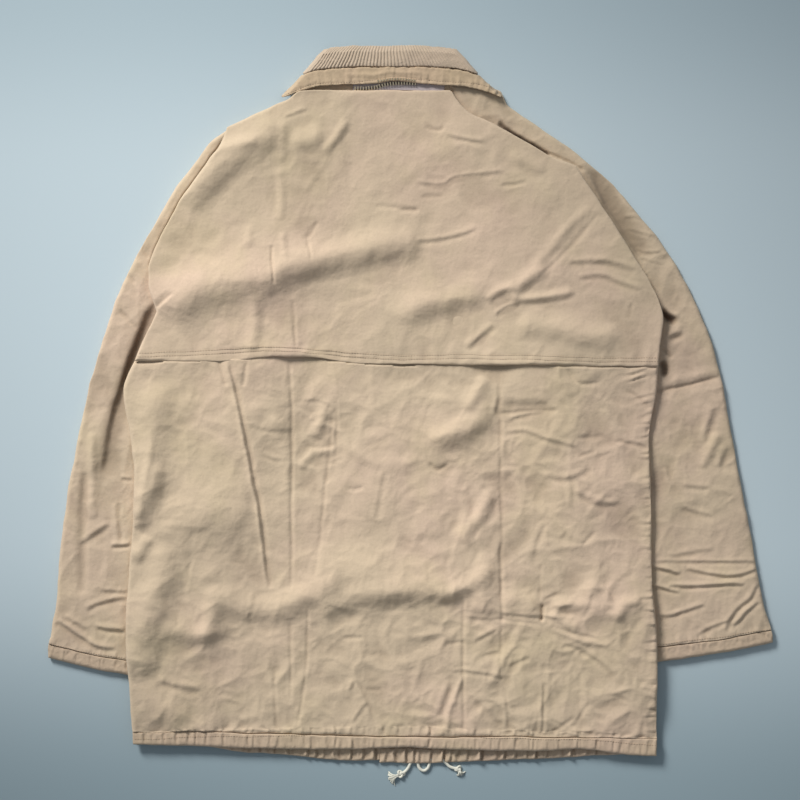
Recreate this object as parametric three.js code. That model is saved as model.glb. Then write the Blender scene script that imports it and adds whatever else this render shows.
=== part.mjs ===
// A padded cotton parka laid face down and seen from the back. The sleeves lie on the floor, the two
// fronts lie over them, and the back panel with its storm flap lies on top. The collar is turned down.
// Millimetres, +Z up, +Y towards the neck. The origin is on the floor under the middle of the coat.
import * as THREE from "three";

const { clamp, lerp, smoothstep } = THREE.MathUtils;

// Cloth walls and the gaps between pieces
const PADDED_WALL = 4;
const FLAP_WALL = 2.4;
const COLLAR_WALL = 2.4;
const TAPE_WALL = 1.2;
const SEAM_GAP = 0.4;

// Heights of the layers above the floor
const SLEEVE_HOLLOW = 0.5;
const SLEEVE_HEIGHT = 2 * PADDED_WALL + SLEEVE_HOLLOW;
const OVER_SLEEVE = SLEEVE_HEIGHT + 0.8;
const AIR_INSIDE = 2.4;
const SLOPE_CLEARANCE = 1.2;
const BACK_OVER_FRONT = PADDED_WALL + SEAM_GAP;

// The front closing, a little to the left of the middle of the coat as it lies
const CLOSING_X = -38;
const CLOSING_GAP = 2.9;
const ZIP_TAPE_WIDTH = 28;
const ZIP_TEETH_WIDTH = 2.1;
const ZIP_TOP_Y = 302;
const ZIP_BOTTOM_Y = -384;

// How the fronts and the back climb over the sleeves that are tucked under them
const SLOPE_START = 16;
const SLOPE_END = 62;
const LIFT_FADES_AT_Y = -330;
const LIFT_ENDS_AT_Y = -385;
const NECK_SETTLES_AT_Y = 350;
const NECK_RISES_AT_Y = 312;
const NECK_SETTLES_BY = 4.8;

// Panel edges are rounded over this width, down to this height
const EDGE_WIDTH = 3;
const EDGE_HEIGHT = 1.4;
const COLUMNS_LEFT = 14;
const COLUMNS_RIGHT = 14;

// Hems
const HEM_WIDTH = 18.6;
const HEM_EDGE_HEIGHT = 2.6;
const BACK_HEM_BULGE = 3.2;
const FRONT_HEM_BULGE = 2;
const BACK_GATHER_HEIGHT = 1.8;
const FRONT_GATHER_HEIGHT = 1.3;
const POINTS_PER_GATHER = 3;
const BACK_GATHERS = 35;
const FRONT_GATHERS_LEFT = 17;
const FRONT_GATHERS_RIGHT = 19;

// Body from the neck, row 0, to the flap's edge, row 12, the hem seam, row 20, and the hem's edge
const FLAP_ROW = 12;
const HEM_ROW = 20;
const BODY_ROWS = [
  { row: 0, leftX: -132.6, leftY: 372, rightX: 49.8, rightY: 372 },
  { row: 1, leftX: -154.2, leftY: 362.4, rightX: 66.6, rightY: 351.6 },
  { row: 2, leftX: -186.6, leftY: 346.8, rightX: 103.8, rightY: 333.6 },
  { row: 3, leftX: -217.8, leftY: 331.2, rightX: 136.2, rightY: 315.6 },
  { row: 4, leftX: -226.2, leftY: 309.6, rightX: 165, rightY: 297.6 },
  { row: 5, leftX: -246.6, leftY: 283.2, rightX: 196.2, rightY: 285.6 },
  { row: 6, leftX: -273, leftY: 247.2, rightX: 225, rightY: 242.4 },
  { row: 7, leftX: -294.6, leftY: 208.8, rightX: 251.4, rightY: 201.6 },
  { row: 8, leftX: -312.6, leftY: 166.8, rightX: 276.6, rightY: 160.8 },
  { row: 9, leftX: -311.4, leftY: 139.2, rightX: 295.8, rightY: 127.2 },
  { row: 10, leftX: -301.8, leftY: 112.8, rightX: 301.8, rightY: 103.2 },
  { row: 11, leftX: -313.8, leftY: 86.4, rightX: 297, rightY: 76.8 },
  { row: 12, leftX: -328.2, leftY: 54, rightX: 294, rightY: 46.8 },
  { row: 13, leftX: -342.6, leftY: 21.6, rightX: 293.4, rightY: 16.8 },
  { row: 14, leftX: -335.4, leftY: -28.8, rightX: 285, rightY: -26.4 },
  { row: 15, leftX: -329.4, leftY: -70.8, rightX: 285, rightY: -70.8 },
  { row: 16, leftX: -330.6, leftY: -136.8, rightX: 287.4, rightY: -136.8 },
  { row: 17, leftX: -335.9, leftY: -202.8, rightX: 288, rightY: -202.8 },
  { row: 18, leftX: -339, leftY: -280.8, rightX: 293.4, rightY: -280.8 },
  { row: 19, leftX: -335.4, leftY: -340.8, rightX: 293.4, rightY: -346.8 },
  { row: 20, leftX: -331.8, leftY: -393.6, rightX: 294, rightY: -402 },
];

// Rows of the fronts' own grid, from the collar seam down. The hem seam closes it.
const FRONT_ROWS = [4, 6, 7, 8, 9, 10, 12, 13, 14, 15, 16, 17, 17.5, 18, 18.5, 19, 19.5];

// The back hem's lower edge sags a little in the middle and drops at the right
const BACK_HEM_EDGE = [
  { x: -331.8, y: -406.2 },
  { x: -250, y: -407 },
  { x: -127.8, y: -410 },
  { x: -7.8, y: -408.4 },
  { x: 66.6, y: -410.6 },
  { x: 131.4, y: -412.4 },
  { x: 212, y: -410.6 },
  { x: 236, y: -414 },
  { x: 294, y: -419 },
];

// Lower edges of the two front hems, which show below the back hem
const FRONT_HEM_LEFT = [
  { x: -331.8, y: -402 },
  { x: -255, y: -406.8 },
  { x: -205.8, y: -414 },
  { x: -127.8, y: -420 },
  { x: -85.8, y: -424.8 },
  { x: -39.4, y: -423.6 },
];
const FRONT_HEM_RIGHT = [
  { x: -36.6, y: -427.2 },
  { x: 11.4, y: -428.4 },
  { x: 43.8, y: -427.2 },
  { x: 109.8, y: -424.8 },
  { x: 197.4, y: -420.6 },
  { x: 232.2, y: -418.8 },
  { x: 294, y: -414 },
];

// Sleeves from the neck to the cuff seam: outer edge, inner edge, and the sag of the line between them
const LEFT_SLEEVE = [
  { outerX: -151.8, outerY: 362.4, innerX: -123, innerY: 333.6, bow: 0 },
  { outerX: -214.2, outerY: 333.6, innerX: -147, innerY: 276, bow: 0 },
  { outerX: -238.2, outerY: 318, innerX: -153, innerY: 243.6, bow: 0 },
  { outerX: -286.2, outerY: 254.4, innerX: -162.6, innerY: 175.2, bow: 0 },
  { outerX: -333, outerY: 171.6, innerX: -174.6, innerY: 105.6, bow: 0 },
  { outerX: -353.4, outerY: 126, innerX: -181.8, innerY: 73.2, bow: 0 },
  { outerX: -369, outerY: 78, innerX: -190.2, innerY: 37.2, bow: 0 },
  { outerX: -384.6, outerY: 25.2, innerX: -201, innerY: -4.8, bow: 0 },
  { outerX: -409.8, outerY: -94.8, innerX: -227.4, innerY: -103.2, bow: 0 },
  { outerX: -415.8, outerY: -142.8, innerX: -239.4, innerY: -148.8, bow: 0 },
  { outerX: -421.2, outerY: -190.8, innerX: -252.6, innerY: -199.2, bow: 1 },
  { outerX: -423.6, outerY: -232.8, innerX: -262.2, innerY: -244.8, bow: 2 },
  { outerX: -429, outerY: -262.8, innerX: -273, innerY: -284.8, bow: 4 },
  { outerX: -433.2, outerY: -284, innerX: -281.4, innerY: -309.2, bow: 5 },
];
const RIGHT_SLEEVE = [
  { outerX: 108, outerY: 366, innerX: 56, innerY: 371.6, bow: 0 },
  { outerX: 138.6, outerY: 344.4, innerX: 78, innerY: 318, bow: 0 },
  { outerX: 191.4, outerY: 309, innerX: 108, innerY: 244, bow: 0 },
  { outerX: 244.2, outerY: 264, innerX: 126.6, innerY: 175.2, bow: 0 },
  { outerX: 294.6, outerY: 204, innerX: 138.6, innerY: 105.6, bow: 0 },
  { outerX: 321, outerY: 164.4, innerX: 145.8, innerY: 73.2, bow: 0 },
  { outerX: 342.6, outerY: 121.2, innerX: 154.2, innerY: 37.2, bow: 0 },
  { outerX: 360.6, outerY: 76.8, innerX: 163.8, innerY: 1.2, bow: 0 },
  { outerX: 375, outerY: 21.6, innerX: 177, innerY: -40.8, bow: 0 },
  { outerX: 396.6, outerY: -100.8, innerX: 211.8, innerY: -130.8, bow: 0 },
  { outerX: 406.2, outerY: -148.8, innerX: 227.4, innerY: -172.8, bow: 0 },
  { outerX: 415.8, outerY: -202.8, innerX: 245.4, innerY: -220.8, bow: 1 },
  { outerX: 423, outerY: -236.8, innerX: 261, innerY: -257.2, bow: 2 },
  { outerX: 431.4, outerY: -267.8, innerX: 281.4, innerY: -288.8, bow: 3 },
];

// Cuffs from the seam to the sleeve's open end
const LEFT_CUFF = [
  { outerX: -433.3, outerY: -284.4, innerX: -281.5, innerY: -309.6, bow: 5 },
  { outerX: -434.4, outerY: -293, innerX: -281.4, innerY: -318.4, bow: 5 },
  { outerX: -434.2, outerY: -301.2, innerX: -281.4, innerY: -327.6, bow: 5 },
];
const RIGHT_CUFF = [
  { outerX: 431.5, outerY: -268.2, innerX: 281.6, innerY: -289.2, bow: 3 },
  { outerX: 434.4, outerY: -275.8, innerX: 282, innerY: -298.2, bow: 3 },
  { outerX: 434.2, outerY: -283.2, innerX: 282.6, innerY: -307.2, bow: 3 },
];

// The largest folds of the back and the flap: the line of the crest, half width and height
const BACK_FOLDS = [
  { name: "yoke crest", x1: -160, y1: 166, x2: -20, y2: 201, width: 17, height: 6.5 },
  { name: "yoke crest, outer end", x1: -262, y1: 141, x2: -170, y2: 160, width: 16, height: 5.5 },
  { name: "shoulder crest", x1: -246, y1: 270, x2: -160, y2: 318, width: 16, height: 6.5 },
  { name: "neck crest", x1: -135, y1: 346, x2: -92, y2: 316, width: 14, height: 3.5 },
  { name: "right yoke crest", x1: 10, y1: 128, x2: 92, y2: 146, width: 15, height: 4 },
  { name: "right shoulder crest", x1: 215, y1: 225, x2: 120, y2: 130, width: 15, height: 3 },
  { name: "yoke corner", x1: 150, y1: 82, x2: 250, y2: 66, width: 15, height: 4 },
  { name: "right hollow rim", x1: 112, y1: 28, x2: 40, y2: -22, width: 17, height: 5.5 },
  { name: "right crumple, upper", x1: 120, y1: -22, x2: 192, y2: -32, width: 15, height: 4 },
  { name: "right crumple, lower", x1: 170, y1: -92, x2: 240, y2: -112, width: 16, height: 3.5 },
  { name: "left side crest", x1: -302, y1: -60, x2: -318, y2: -130, width: 13, height: 4.5 },
  { name: "left pocket crest", x1: -236, y1: -140, x2: -150, y2: -150, width: 18, height: 3.5 },
  { name: "left lower crest", x1: -292, y1: -160, x2: -308, y2: -270, width: 16, height: 5.5 },
  { name: "waist crest, left", x1: -240, y1: -212, x2: -226, y2: -258, width: 14, height: 5 },
  { name: "waist crest, middle", x1: -132, y1: -226, x2: -60, y2: -206, width: 17, height: 6 },
  { name: "waist crest, right", x1: -60, y1: -206, x2: 44, y2: -212, width: 17, height: 6.5 },
  { name: "slant above the waist", x1: 60, y1: -196, x2: 106, y2: -162, width: 14, height: 4.5 },
  { name: "right waist crest", x1: 168, y1: -222, x2: 262, y2: -236, width: 15, height: 4.5 },
  { name: "right lower slant", x1: 96, y1: -340, x2: 200, y2: -262, width: 16, height: 3.5 },
  { name: "middle lower slant", x1: -40, y1: -352, x2: 20, y2: -262, width: 17, height: 3 },
  { name: "hem corner", x1: 236, y1: -382, x2: 268, y2: -300, width: 18, height: 4 },
];

// The pleat under the flap is a sharp crease that opens into a soft swell on its left
const PLEAT = { topX: -217, topY: 48, bottomX: -170, bottomY: -219, height: 3.2, reach: 34 };

const SLEEVE_FOLDS = [
  { name: "left forearm", x1: -377, y1: 8, x2: -378, y2: -140, width: 12, height: 3 },
  { name: "left elbow", x1: -336, y1: 112, x2: -362, y2: 60, width: 10, height: 2.2 },
  { name: "left wrist, upper", x1: -420, y1: -226, x2: -372, y2: -252, width: 9, height: 3 },
  { name: "left wrist, lower", x1: -424, y1: -250, x2: -392, y2: -284, width: 7, height: 2 },
  { name: "right upper arm", x1: 262, y1: 214, x2: 300, y2: 180, width: 9, height: 2.4 },
  { name: "right elbow", x1: 336, y1: 96, x2: 346, y2: 34, width: 10, height: 2.4 },
  { name: "right forearm", x1: 368, y1: -14, x2: 346, y2: -84, width: 14, height: 3.2 },
  { name: "right wrist, upper", x1: 322, y1: -196, x2: 408, y2: -198, width: 8, height: 2.6 },
  { name: "right wrist, lower", x1: 402, y1: -222, x2: 380, y2: -258, width: 9, height: 3 },
];

// Collar, flattened, with the back over the front. The fall is rib knit down to its seam, then shell.
const NECK_CENTRE_X = -41.4;
const NECK_HALF_WIDTH = 88;
const FRONT_NECK_DROP = 66.5;
const FRONT_NECK_SQUARENESS = 4;
const FRONT_FOLD_SQUARENESS = 4;
const COLLAR_END_ROUNDING = 6;
const FALL_FRONT_HEIGHT = 0;
const STAND_FRONT_HEIGHT = 3;
const STAND_BACK_HEIGHT = 6;
const FALL_BACK_HEIGHT = STAND_BACK_HEIGHT + COLLAR_WALL + SEAM_GAP;
const FALL_LIFT_MIDDLE = 3.2;
const FALL_LIFT_ENDS = 4.1;
const RIB_COUNT = 45;
const RIB_HEIGHT = 0.9;
// Levels from the fold, 0, to the free edge or the neck seam, 1: both ends, the height of the middle
// and of the ends on the back, and how much higher the front layer's ends lie
const FALL_LEVELS = [
  { level: 0, leftX: -102.6, rightX: 54.6, middleY: 431.4, endY: 427, frontRise: 0 },
  { level: 0.2, leftX: -112.2, rightX: 63, middleY: 423.6, endY: 418, frontRise: 0 },
  { level: 0.55, leftX: -127.8, rightX: 81, middleY: 405.2, endY: 396.6, frontRise: 3 },
  { level: 0.8, leftX: -143, rightX: 96, middleY: 393.5, endY: 380, frontRise: 6 },
  { level: 1, leftX: -156, rightX: 111, middleY: 384, endY: 365.6, frontRise: 9 },
];
const RIB_SEAM_LEVEL = 0.55;
const STAND_LEVELS = [
  { level: 0, leftX: -98.5, rightX: 50.5, middleY: 422, endY: 414, frontRise: 0 },
  { level: 0.5, leftX: -116, rightX: 50, middleY: 397, endY: 393, frontRise: 0 },
  { level: 1, leftX: -132, rightX: 49.8, middleY: 372.4, endY: 372.4, frontRise: 0 },
];
const HOOD_ZIP = { leftX: -69, rightX: 40, bottomY: 377, topY: 388 };

// Drawcord ends that come out of the front hem, laid on the floor
const CORD_RADIUS = 1.8;
const CORD_HEIGHT = CORD_RADIUS + 0.05;
const LEFT_CORD = [
  { x: -0.6, y: -429.2 },
  { x: -2.6, y: -434 },
  { x: -6.6, y: -438.6 },
];
const CORD_LOOP = [
  { x: 9, y: -429.3 },
  { x: 10.4, y: -434.4 },
  { x: 15.6, y: -438 },
  { x: 21, y: -434.8 },
  { x: 22.8, y: -429 },
];
const RIGHT_CORD = [
  { x: 43.8, y: -429.2 },
  { x: 46.8, y: -432.6 },
  { x: 52.4, y: -434.2 },
];
// Knots as turned shapes: distance along the cord and radius
const LEFT_KNOT = { x: -7.4, y: -439.4, heading: -157, squash: 0.86 };
const LEFT_KNOT_PROFILE = [
  { along: 0, radius: 2.2 },
  { along: 1.5, radius: 3.9 },
  { along: 4.5, radius: 4.6 },
  { along: 8, radius: 3.9 },
  { along: 10, radius: 2.6 },
  { along: 12.5, radius: 4.4 },
  { along: 16, radius: 5 },
  { along: 19, radius: 3.4 },
];
const RIGHT_KNOT = { x: 53.4, y: -434.4, heading: -30, squash: 0.86 };
const RIGHT_KNOT_PROFILE = [
  { along: 0, radius: 2 },
  { along: 1.2, radius: 3.4 },
  { along: 3.8, radius: 4.1 },
  { along: 6.6, radius: 3.3 },
  { along: 8, radius: 2.2 },
  { along: 10.6, radius: 2 },
];
const KNOT_SIDES = 12;

// Cloth and metal
const shell = new THREE.MeshStandardMaterial({ color: 0xc0ae98, roughness: 0.9 });
const shellShaded = new THREE.MeshStandardMaterial({ color: 0xb4a48d, roughness: 0.9 });
const ribKnit = new THREE.MeshStandardMaterial({ color: 0xa99885, roughness: 0.95 });
const zipTape = new THREE.MeshStandardMaterial({ color: 0x8f8c99, roughness: 0.8 });
const cordCotton = new THREE.MeshStandardMaterial({ color: 0xcfd0c6, roughness: 0.85 });

// A smooth curve through a table, read at any value of the column named by `along`
function curveThrough(rows, along) {
  const columns = Object.keys(rows[0]).filter((name) => name !== along);
  const curve = new THREE.CubicInterpolant(
    rows.map((row) => row[along]),
    rows.flatMap((row) => columns.map((name) => row[name])),
    columns.length,
  );
  return (place) => {
    const values = curve.evaluate(place);
    return Object.fromEntries(columns.map((name, i) => [name, values[i]]));
  };
}

// A closed wall between two grids of points, rows by columns. A joined wall runs round in a tube.
function wallBetween(outside, inside, joined = false) {
  const rows = outside.length;
  const columns = outside[0].length;
  const points = [...outside.flat(), ...inside.flat()];
  const at = (side, row, column) => (side * rows + row) * columns + (column % columns);
  const corners = [];
  const quad = (a, b, c, d) => corners.push(a, b, c, a, c, d);
  const steps = joined ? columns : columns - 1;
  const last = rows - 1;
  for (let c = 0; c < steps; c++) {
    for (let r = 0; r < last; r++) {
      quad(at(0, r, c), at(0, r, c + 1), at(0, r + 1, c + 1), at(0, r + 1, c));
      quad(at(1, r, c), at(1, r + 1, c), at(1, r + 1, c + 1), at(1, r, c + 1));
    }
    quad(at(1, 0, c), at(1, 0, c + 1), at(0, 0, c + 1), at(0, 0, c));
    quad(at(0, last, c), at(0, last, c + 1), at(1, last, c + 1), at(1, last, c));
  }
  for (let r = 0; r < last && !joined; r++) {
    const end = columns - 1;
    quad(at(0, r, 0), at(0, r + 1, 0), at(1, r + 1, 0), at(1, r, 0));
    quad(at(0, r + 1, end), at(0, r, end), at(1, r, end), at(1, r + 1, end));
  }
  if (signedVolume(points, corners) < 0) corners.reverse();
  const geometry = new THREE.BufferGeometry().setFromPoints(points).setIndex(corners);
  geometry.computeVertexNormals();
  return geometry;
}

function signedVolume(points, corners) {
  let volume = 0;
  for (let i = 0; i < corners.length; i += 3) {
    const [a, b, c] = [points[corners[i]], points[corners[i + 1]], points[corners[i + 2]]];
    volume += a.dot(b.clone().cross(c)) / 6;
  }
  return volume;
}

// Height of a set of folds at one place. Each is a crest along a line, soft across and at its ends.
function foldHeight(folds, x, y) {
  let height = 0;
  for (const fold of folds) {
    const runX = fold.x2 - fold.x1;
    const runY = fold.y2 - fold.y1;
    const along = ((x - fold.x1) * runX + (y - fold.y1) * runY) / (runX * runX + runY * runY);
    const nearest = clamp(along, 0, 1);
    const away = Math.hypot(x - fold.x1 - nearest * runX, y - fold.y1 - nearest * runY);
    height += fold.height * Math.exp(-((away / fold.width) ** 2));
  }
  return height;
}

function pleatHeight(x, y) {
  const down = (PLEAT.topY - y) / (PLEAT.topY - PLEAT.bottomY);
  if (down < 0 || down > 1) return 0;
  const left = lerp(PLEAT.topX, PLEAT.bottomX, down) - x;
  if (left < 0 || left > PLEAT.reach) return 0;
  return PLEAT.height * (1 - left / PLEAT.reach) * Math.sqrt(1 - down);
}

// How far a place is over a tucked sleeve, 1, or on the flat middle of the coat, 0
const leftInnerEdge = curveThrough(innerEdge(LEFT_SLEEVE), "y");
const rightInnerEdge = curveThrough(innerEdge(RIGHT_SLEEVE), "y");

function innerEdge(sleeve) {
  return sleeve.map(({ innerX, innerY }) => ({ x: innerX, y: innerY })).reverse();
}

function overSleeve(x, y) {
  const inboard = Math.min(x - leftInnerEdge(y).x, rightInnerEdge(y).x - x);
  const across = 1 - smoothstep(inboard, SLOPE_START, SLOPE_END);
  return across * smoothstep(y, LIFT_ENDS_AT_Y, LIFT_FADES_AT_Y);
}

function frontUnderside(x, y) {
  return OVER_SLEEVE * overSleeve(x, y);
}

function backUnderside(x, y) {
  const cover = overSleeve(x, y);
  const settled = NECK_SETTLES_BY * smoothstep(y, NECK_RISES_AT_Y, NECK_SETTLES_AT_Y);
  const onFront = cover * (OVER_SLEEVE - settled) + BACK_OVER_FRONT;
  const air = AIR_INSIDE * (1 - cover) + SLOPE_CLEARANCE * 4 * cover * (1 - cover);
  return onFront + air + foldHeight(BACK_FOLDS, x, y) + pleatHeight(x, y);
}

// One row across the body: both edges have a narrow rounded column, and one column is at the closing
const bodyRow = curveThrough(BODY_ROWS, "row");

function bodyColumns(row) {
  const { leftX, leftY, rightX, rightY } = bodyRow(row);
  const places = [leftX];
  for (let i = 0; i < COLUMNS_LEFT; i++) {
    places.push(lerp(leftX + EDGE_WIDTH, CLOSING_X, i / COLUMNS_LEFT));
  }
  for (let i = 0; i <= COLUMNS_RIGHT; i++) {
    places.push(lerp(CLOSING_X, rightX - EDGE_WIDTH, i / COLUMNS_RIGHT));
  }
  places.push(rightX);
  return places.map((x) => ({ x, y: lerp(leftY, rightY, (x - leftX) / (rightX - leftX)) }));
}

// The height of a rounded panel's face over its other face, low in the outermost columns
function edgeHeight(column, columns, wall) {
  return column === 0 || column === columns - 1 ? Math.min(EDGE_HEIGHT, wall) : wall;
}

function backRows() {
  const rows = [];
  for (let row = 0; row <= FLAP_ROW; row++) rows.push(row);
  for (let row = FLAP_ROW + 0.5; row <= HEM_ROW; row += 0.5) rows.push(row);
  return rows;
}

function backPanel() {
  const spots = backRows().map(bodyColumns);
  const underside = spots.map((line) =>
    line.map(({ x, y }) => new THREE.Vector3(x, y, backUnderside(x, y))),
  );
  const top = underside.map((line) =>
    line.map((p, i) => p.clone().setZ(p.z + edgeHeight(i, line.length, PADDED_WALL))),
  );
  return wallBetween(top, underside);
}

// The flap is made from the points of the back that it lies on, moved up
function stormFlap() {
  const spots = backRows().filter((row) => row <= FLAP_ROW).map(bodyColumns);
  const underside = spots.map((line) =>
    line.map(({ x, y }, i) => {
      const backTop = backUnderside(x, y) + edgeHeight(i, line.length, PADDED_WALL);
      return new THREE.Vector3(x, y, backTop + SEAM_GAP);
    }),
  );
  const top = underside.map((line) =>
    line.map((p, i) => p.clone().setZ(p.z + edgeHeight(i, line.length, FLAP_WALL))),
  );
  return wallBetween(top, underside);
}

// A front has the body's columns up to the closing, and ends at the seam of its own hem
function frontPanel(side) {
  const isLeft = side === "left";
  const hemEdge = curveThrough(isLeft ? FRONT_HEM_LEFT : FRONT_HEM_RIGHT, "x");
  const closingX = CLOSING_X + (isLeft ? -CLOSING_GAP / 2 : CLOSING_GAP / 2);
  const closingColumn = COLUMNS_LEFT + 1;
  const halfOf = (line) => {
    const half = isLeft ? line.slice(0, closingColumn + 1) : line.slice(closingColumn).reverse();
    return half.map(({ x, y }) => (x === CLOSING_X ? { x: closingX, y } : { x, y }));
  };
  const spots = FRONT_ROWS.map((row) => halfOf(bodyColumns(row)));
  const seam = halfOf(bodyColumns(HEM_ROW));
  spots.push(seam.map(({ x }) => ({ x, y: hemEdge(x).y + HEM_WIDTH + SEAM_GAP })));
  const top = spots.map((line) =>
    line.map(({ x, y }) => new THREE.Vector3(x, y, frontUnderside(x, y) + PADDED_WALL)),
  );
  const underside = top.map((line) =>
    line.map((p, i) => p.clone().setZ(p.z - (i === 0 ? EDGE_HEIGHT : PADDED_WALL))),
  );
  return wallBetween(top, underside);
}

// Uneven gathers along a hem: places from 0 to 1 and how high the cloth stands there, 0 to 1
function gathers(count, phase) {
  const widths = [];
  for (let i = 0; i < count; i++) {
    widths.push(1 + 0.35 * Math.sin(2.4 * i + phase) + 0.25 * Math.sin(1.1 * i + 1 + phase));
  }
  const whole = widths.reduce((sum, width) => sum + width, 0);
  const places = [];
  let start = 0;
  for (const [i, width] of widths.entries()) {
    const height = 0.7 + 0.3 * Math.sin(1.7 * i + phase);
    for (let step = 0; step < POINTS_PER_GATHER; step++) {
      const turn = step / POINTS_PER_GATHER;
      const swell = (1 - Math.cos(2 * Math.PI * turn)) / 2;
      places.push({ at: (start + turn * width) / whole, height: height * swell });
    }
    start += width;
  }
  places.push({ at: 1, height: 0 });
  return places;
}

// A hem channel: flat below, bulged over the cord inside, gathered along its length
function hemBand({ places, seamLine, edgeLine, floor, bulge, gatherHeight }) {
  const across = [0, 0.3, 0.7, 1];
  const underside = across.map((down) =>
    places.map(({ at }) => {
      const seam = seamLine(at);
      const edge = edgeLine(at);
      return new THREE.Vector3(lerp(seam.x, edge.x, down), lerp(seam.y, edge.y, down), floor);
    }),
  );
  const top = underside.map((line, row) =>
    line.map((p, i) => {
      const arch = Math.sin(Math.PI * across[row]);
      const gather = gatherHeight * places[i].height * (0.35 + 0.65 * arch);
      return p.clone().setZ(floor + HEM_EDGE_HEIGHT + bulge * arch + gather);
    }),
  );
  return wallBetween(top, underside);
}

function backHem() {
  const seam = bodyRow(HEM_ROW);
  const edge = curveThrough(BACK_HEM_EDGE, "x");
  const placeX = (at) => lerp(seam.leftX, seam.rightX, at);
  return hemBand({
    places: gathers(BACK_GATHERS, 0),
    seamLine: (at) => ({ x: placeX(at), y: lerp(seam.leftY, seam.rightY, at) - SEAM_GAP }),
    edgeLine: (at) => ({ x: placeX(at), y: edge(placeX(at)).y }),
    floor: BACK_OVER_FRONT + AIR_INSIDE,
    bulge: BACK_HEM_BULGE,
    gatherHeight: BACK_GATHER_HEIGHT,
  });
}

function frontHem(side) {
  const isLeft = side === "left";
  const table = isLeft ? FRONT_HEM_LEFT : FRONT_HEM_RIGHT;
  const edge = curveThrough(table, "x");
  const placeX = (at) => lerp(table[0].x, table[table.length - 1].x, at);
  return hemBand({
    places: gathers(isLeft ? FRONT_GATHERS_LEFT : FRONT_GATHERS_RIGHT, isLeft ? 2 : 4),
    seamLine: (at) => ({ x: placeX(at), y: edge(placeX(at)).y + HEM_WIDTH }),
    edgeLine: (at) => ({ x: placeX(at), y: edge(placeX(at)).y }),
    floor: 0,
    bulge: FRONT_HEM_BULGE,
    gatherHeight: FRONT_GATHER_HEIGHT,
  });
}

// The zip lies behind the two front edges, with its teeth in the gap between them
function frontZip() {
  const halfTape = ZIP_TAPE_WIDTH / 2;
  const halfTeeth = ZIP_TEETH_WIDTH / 2;
  const tapeBottom = PADDED_WALL + SEAM_GAP;
  const section = new THREE.Shape();
  section.moveTo(-halfTape, tapeBottom);
  section.lineTo(-halfTeeth, tapeBottom);
  section.lineTo(-halfTeeth, 1);
  section.lineTo(halfTeeth, 1);
  section.lineTo(halfTeeth, tapeBottom);
  section.lineTo(halfTape, tapeBottom);
  section.lineTo(halfTape, tapeBottom + TAPE_WALL);
  section.lineTo(-halfTape, tapeBottom + TAPE_WALL);
  section.closePath();
  const length = ZIP_TOP_Y - ZIP_BOTTOM_Y;
  const geometry = new THREE.ExtrudeGeometry(section, { depth: length, bevelEnabled: false });
  geometry.rotateX(Math.PI / 2);
  return geometry.translate(CLOSING_X, ZIP_TOP_Y, 0);
}

// One flattened tube section: round ends, a flat underside, and folds on its top
function sleeveSection(station, radius) {
  const { outerX, outerY, innerX, innerY, bow } = station;
  const width = Math.hypot(innerX - outerX, innerY - outerY);
  const endRadius = SLEEVE_HEIGHT / 2;
  const floorSteps = 2;
  const endSteps = 4;
  const topSteps = 8;
  const ring = [];
  const add = (across, height, onTop) => {
    const part = across / width;
    const x = lerp(outerX, innerX, part);
    const y = lerp(outerY, innerY, part) - bow * 4 * part * (1 - part);
    const fold = onTop ? foldHeight(SLEEVE_FOLDS, x, y) : 0;
    ring.push(new THREE.Vector3(x, y, height + fold));
  };
  const straight = width - 2 * endRadius;
  for (let i = 0; i < floorSteps; i++) {
    add(endRadius + (straight * i) / floorSteps, endRadius - radius, false);
  }
  for (let i = 0; i < endSteps; i++) {
    const angle = Math.PI * (i / endSteps - 0.5);
    add(width - endRadius + radius * Math.cos(angle), endRadius + radius * Math.sin(angle), false);
  }
  for (let i = topSteps; i > 0; i--) {
    add(endRadius + straight * (i / topSteps) ** 1.6, endRadius + radius, true);
  }
  add(endRadius, endRadius + radius, true);
  for (let i = 1; i <= endSteps - 1; i++) {
    const angle = Math.PI * (0.5 - i / endSteps);
    add(endRadius - radius * Math.cos(angle), endRadius + radius * Math.sin(angle), false);
  }
  return ring;
}

function sleeveTube(stations) {
  const outerRadius = SLEEVE_HEIGHT / 2;
  const innerRadius = SLEEVE_HOLLOW / 2;
  const outside = stations.map((station) => sleeveSection(station, outerRadius));
  const inside = stations.map((station) => sleeveSection(station, innerRadius));
  return wallBetween(outside, inside, true);
}

// Places on the front layer from the closing outwards. All levels share them as far as the neck
// drops, so that two levels side by side don't cross.
function alongFront(closingX, endX) {
  const insideSteps = 5;
  const outsideSteps = 2;
  const neckEndX = NECK_CENTRE_X + Math.sign(endX - closingX) * NECK_HALF_WIDTH;
  const reachesOut = Math.abs(endX - closingX) > Math.abs(neckEndX - closingX) + EDGE_WIDTH;
  const turnX = reachesOut ? neckEndX : lerp(closingX, endX, 0.75);
  const places = [];
  for (let i = 0; i < insideSteps; i++) places.push(lerp(closingX, turnX, i / insideSteps));
  for (let i = 0; i < outsideSteps; i++) places.push(lerp(turnX, endX, i / outsideSteps));
  return places;
}

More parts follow.
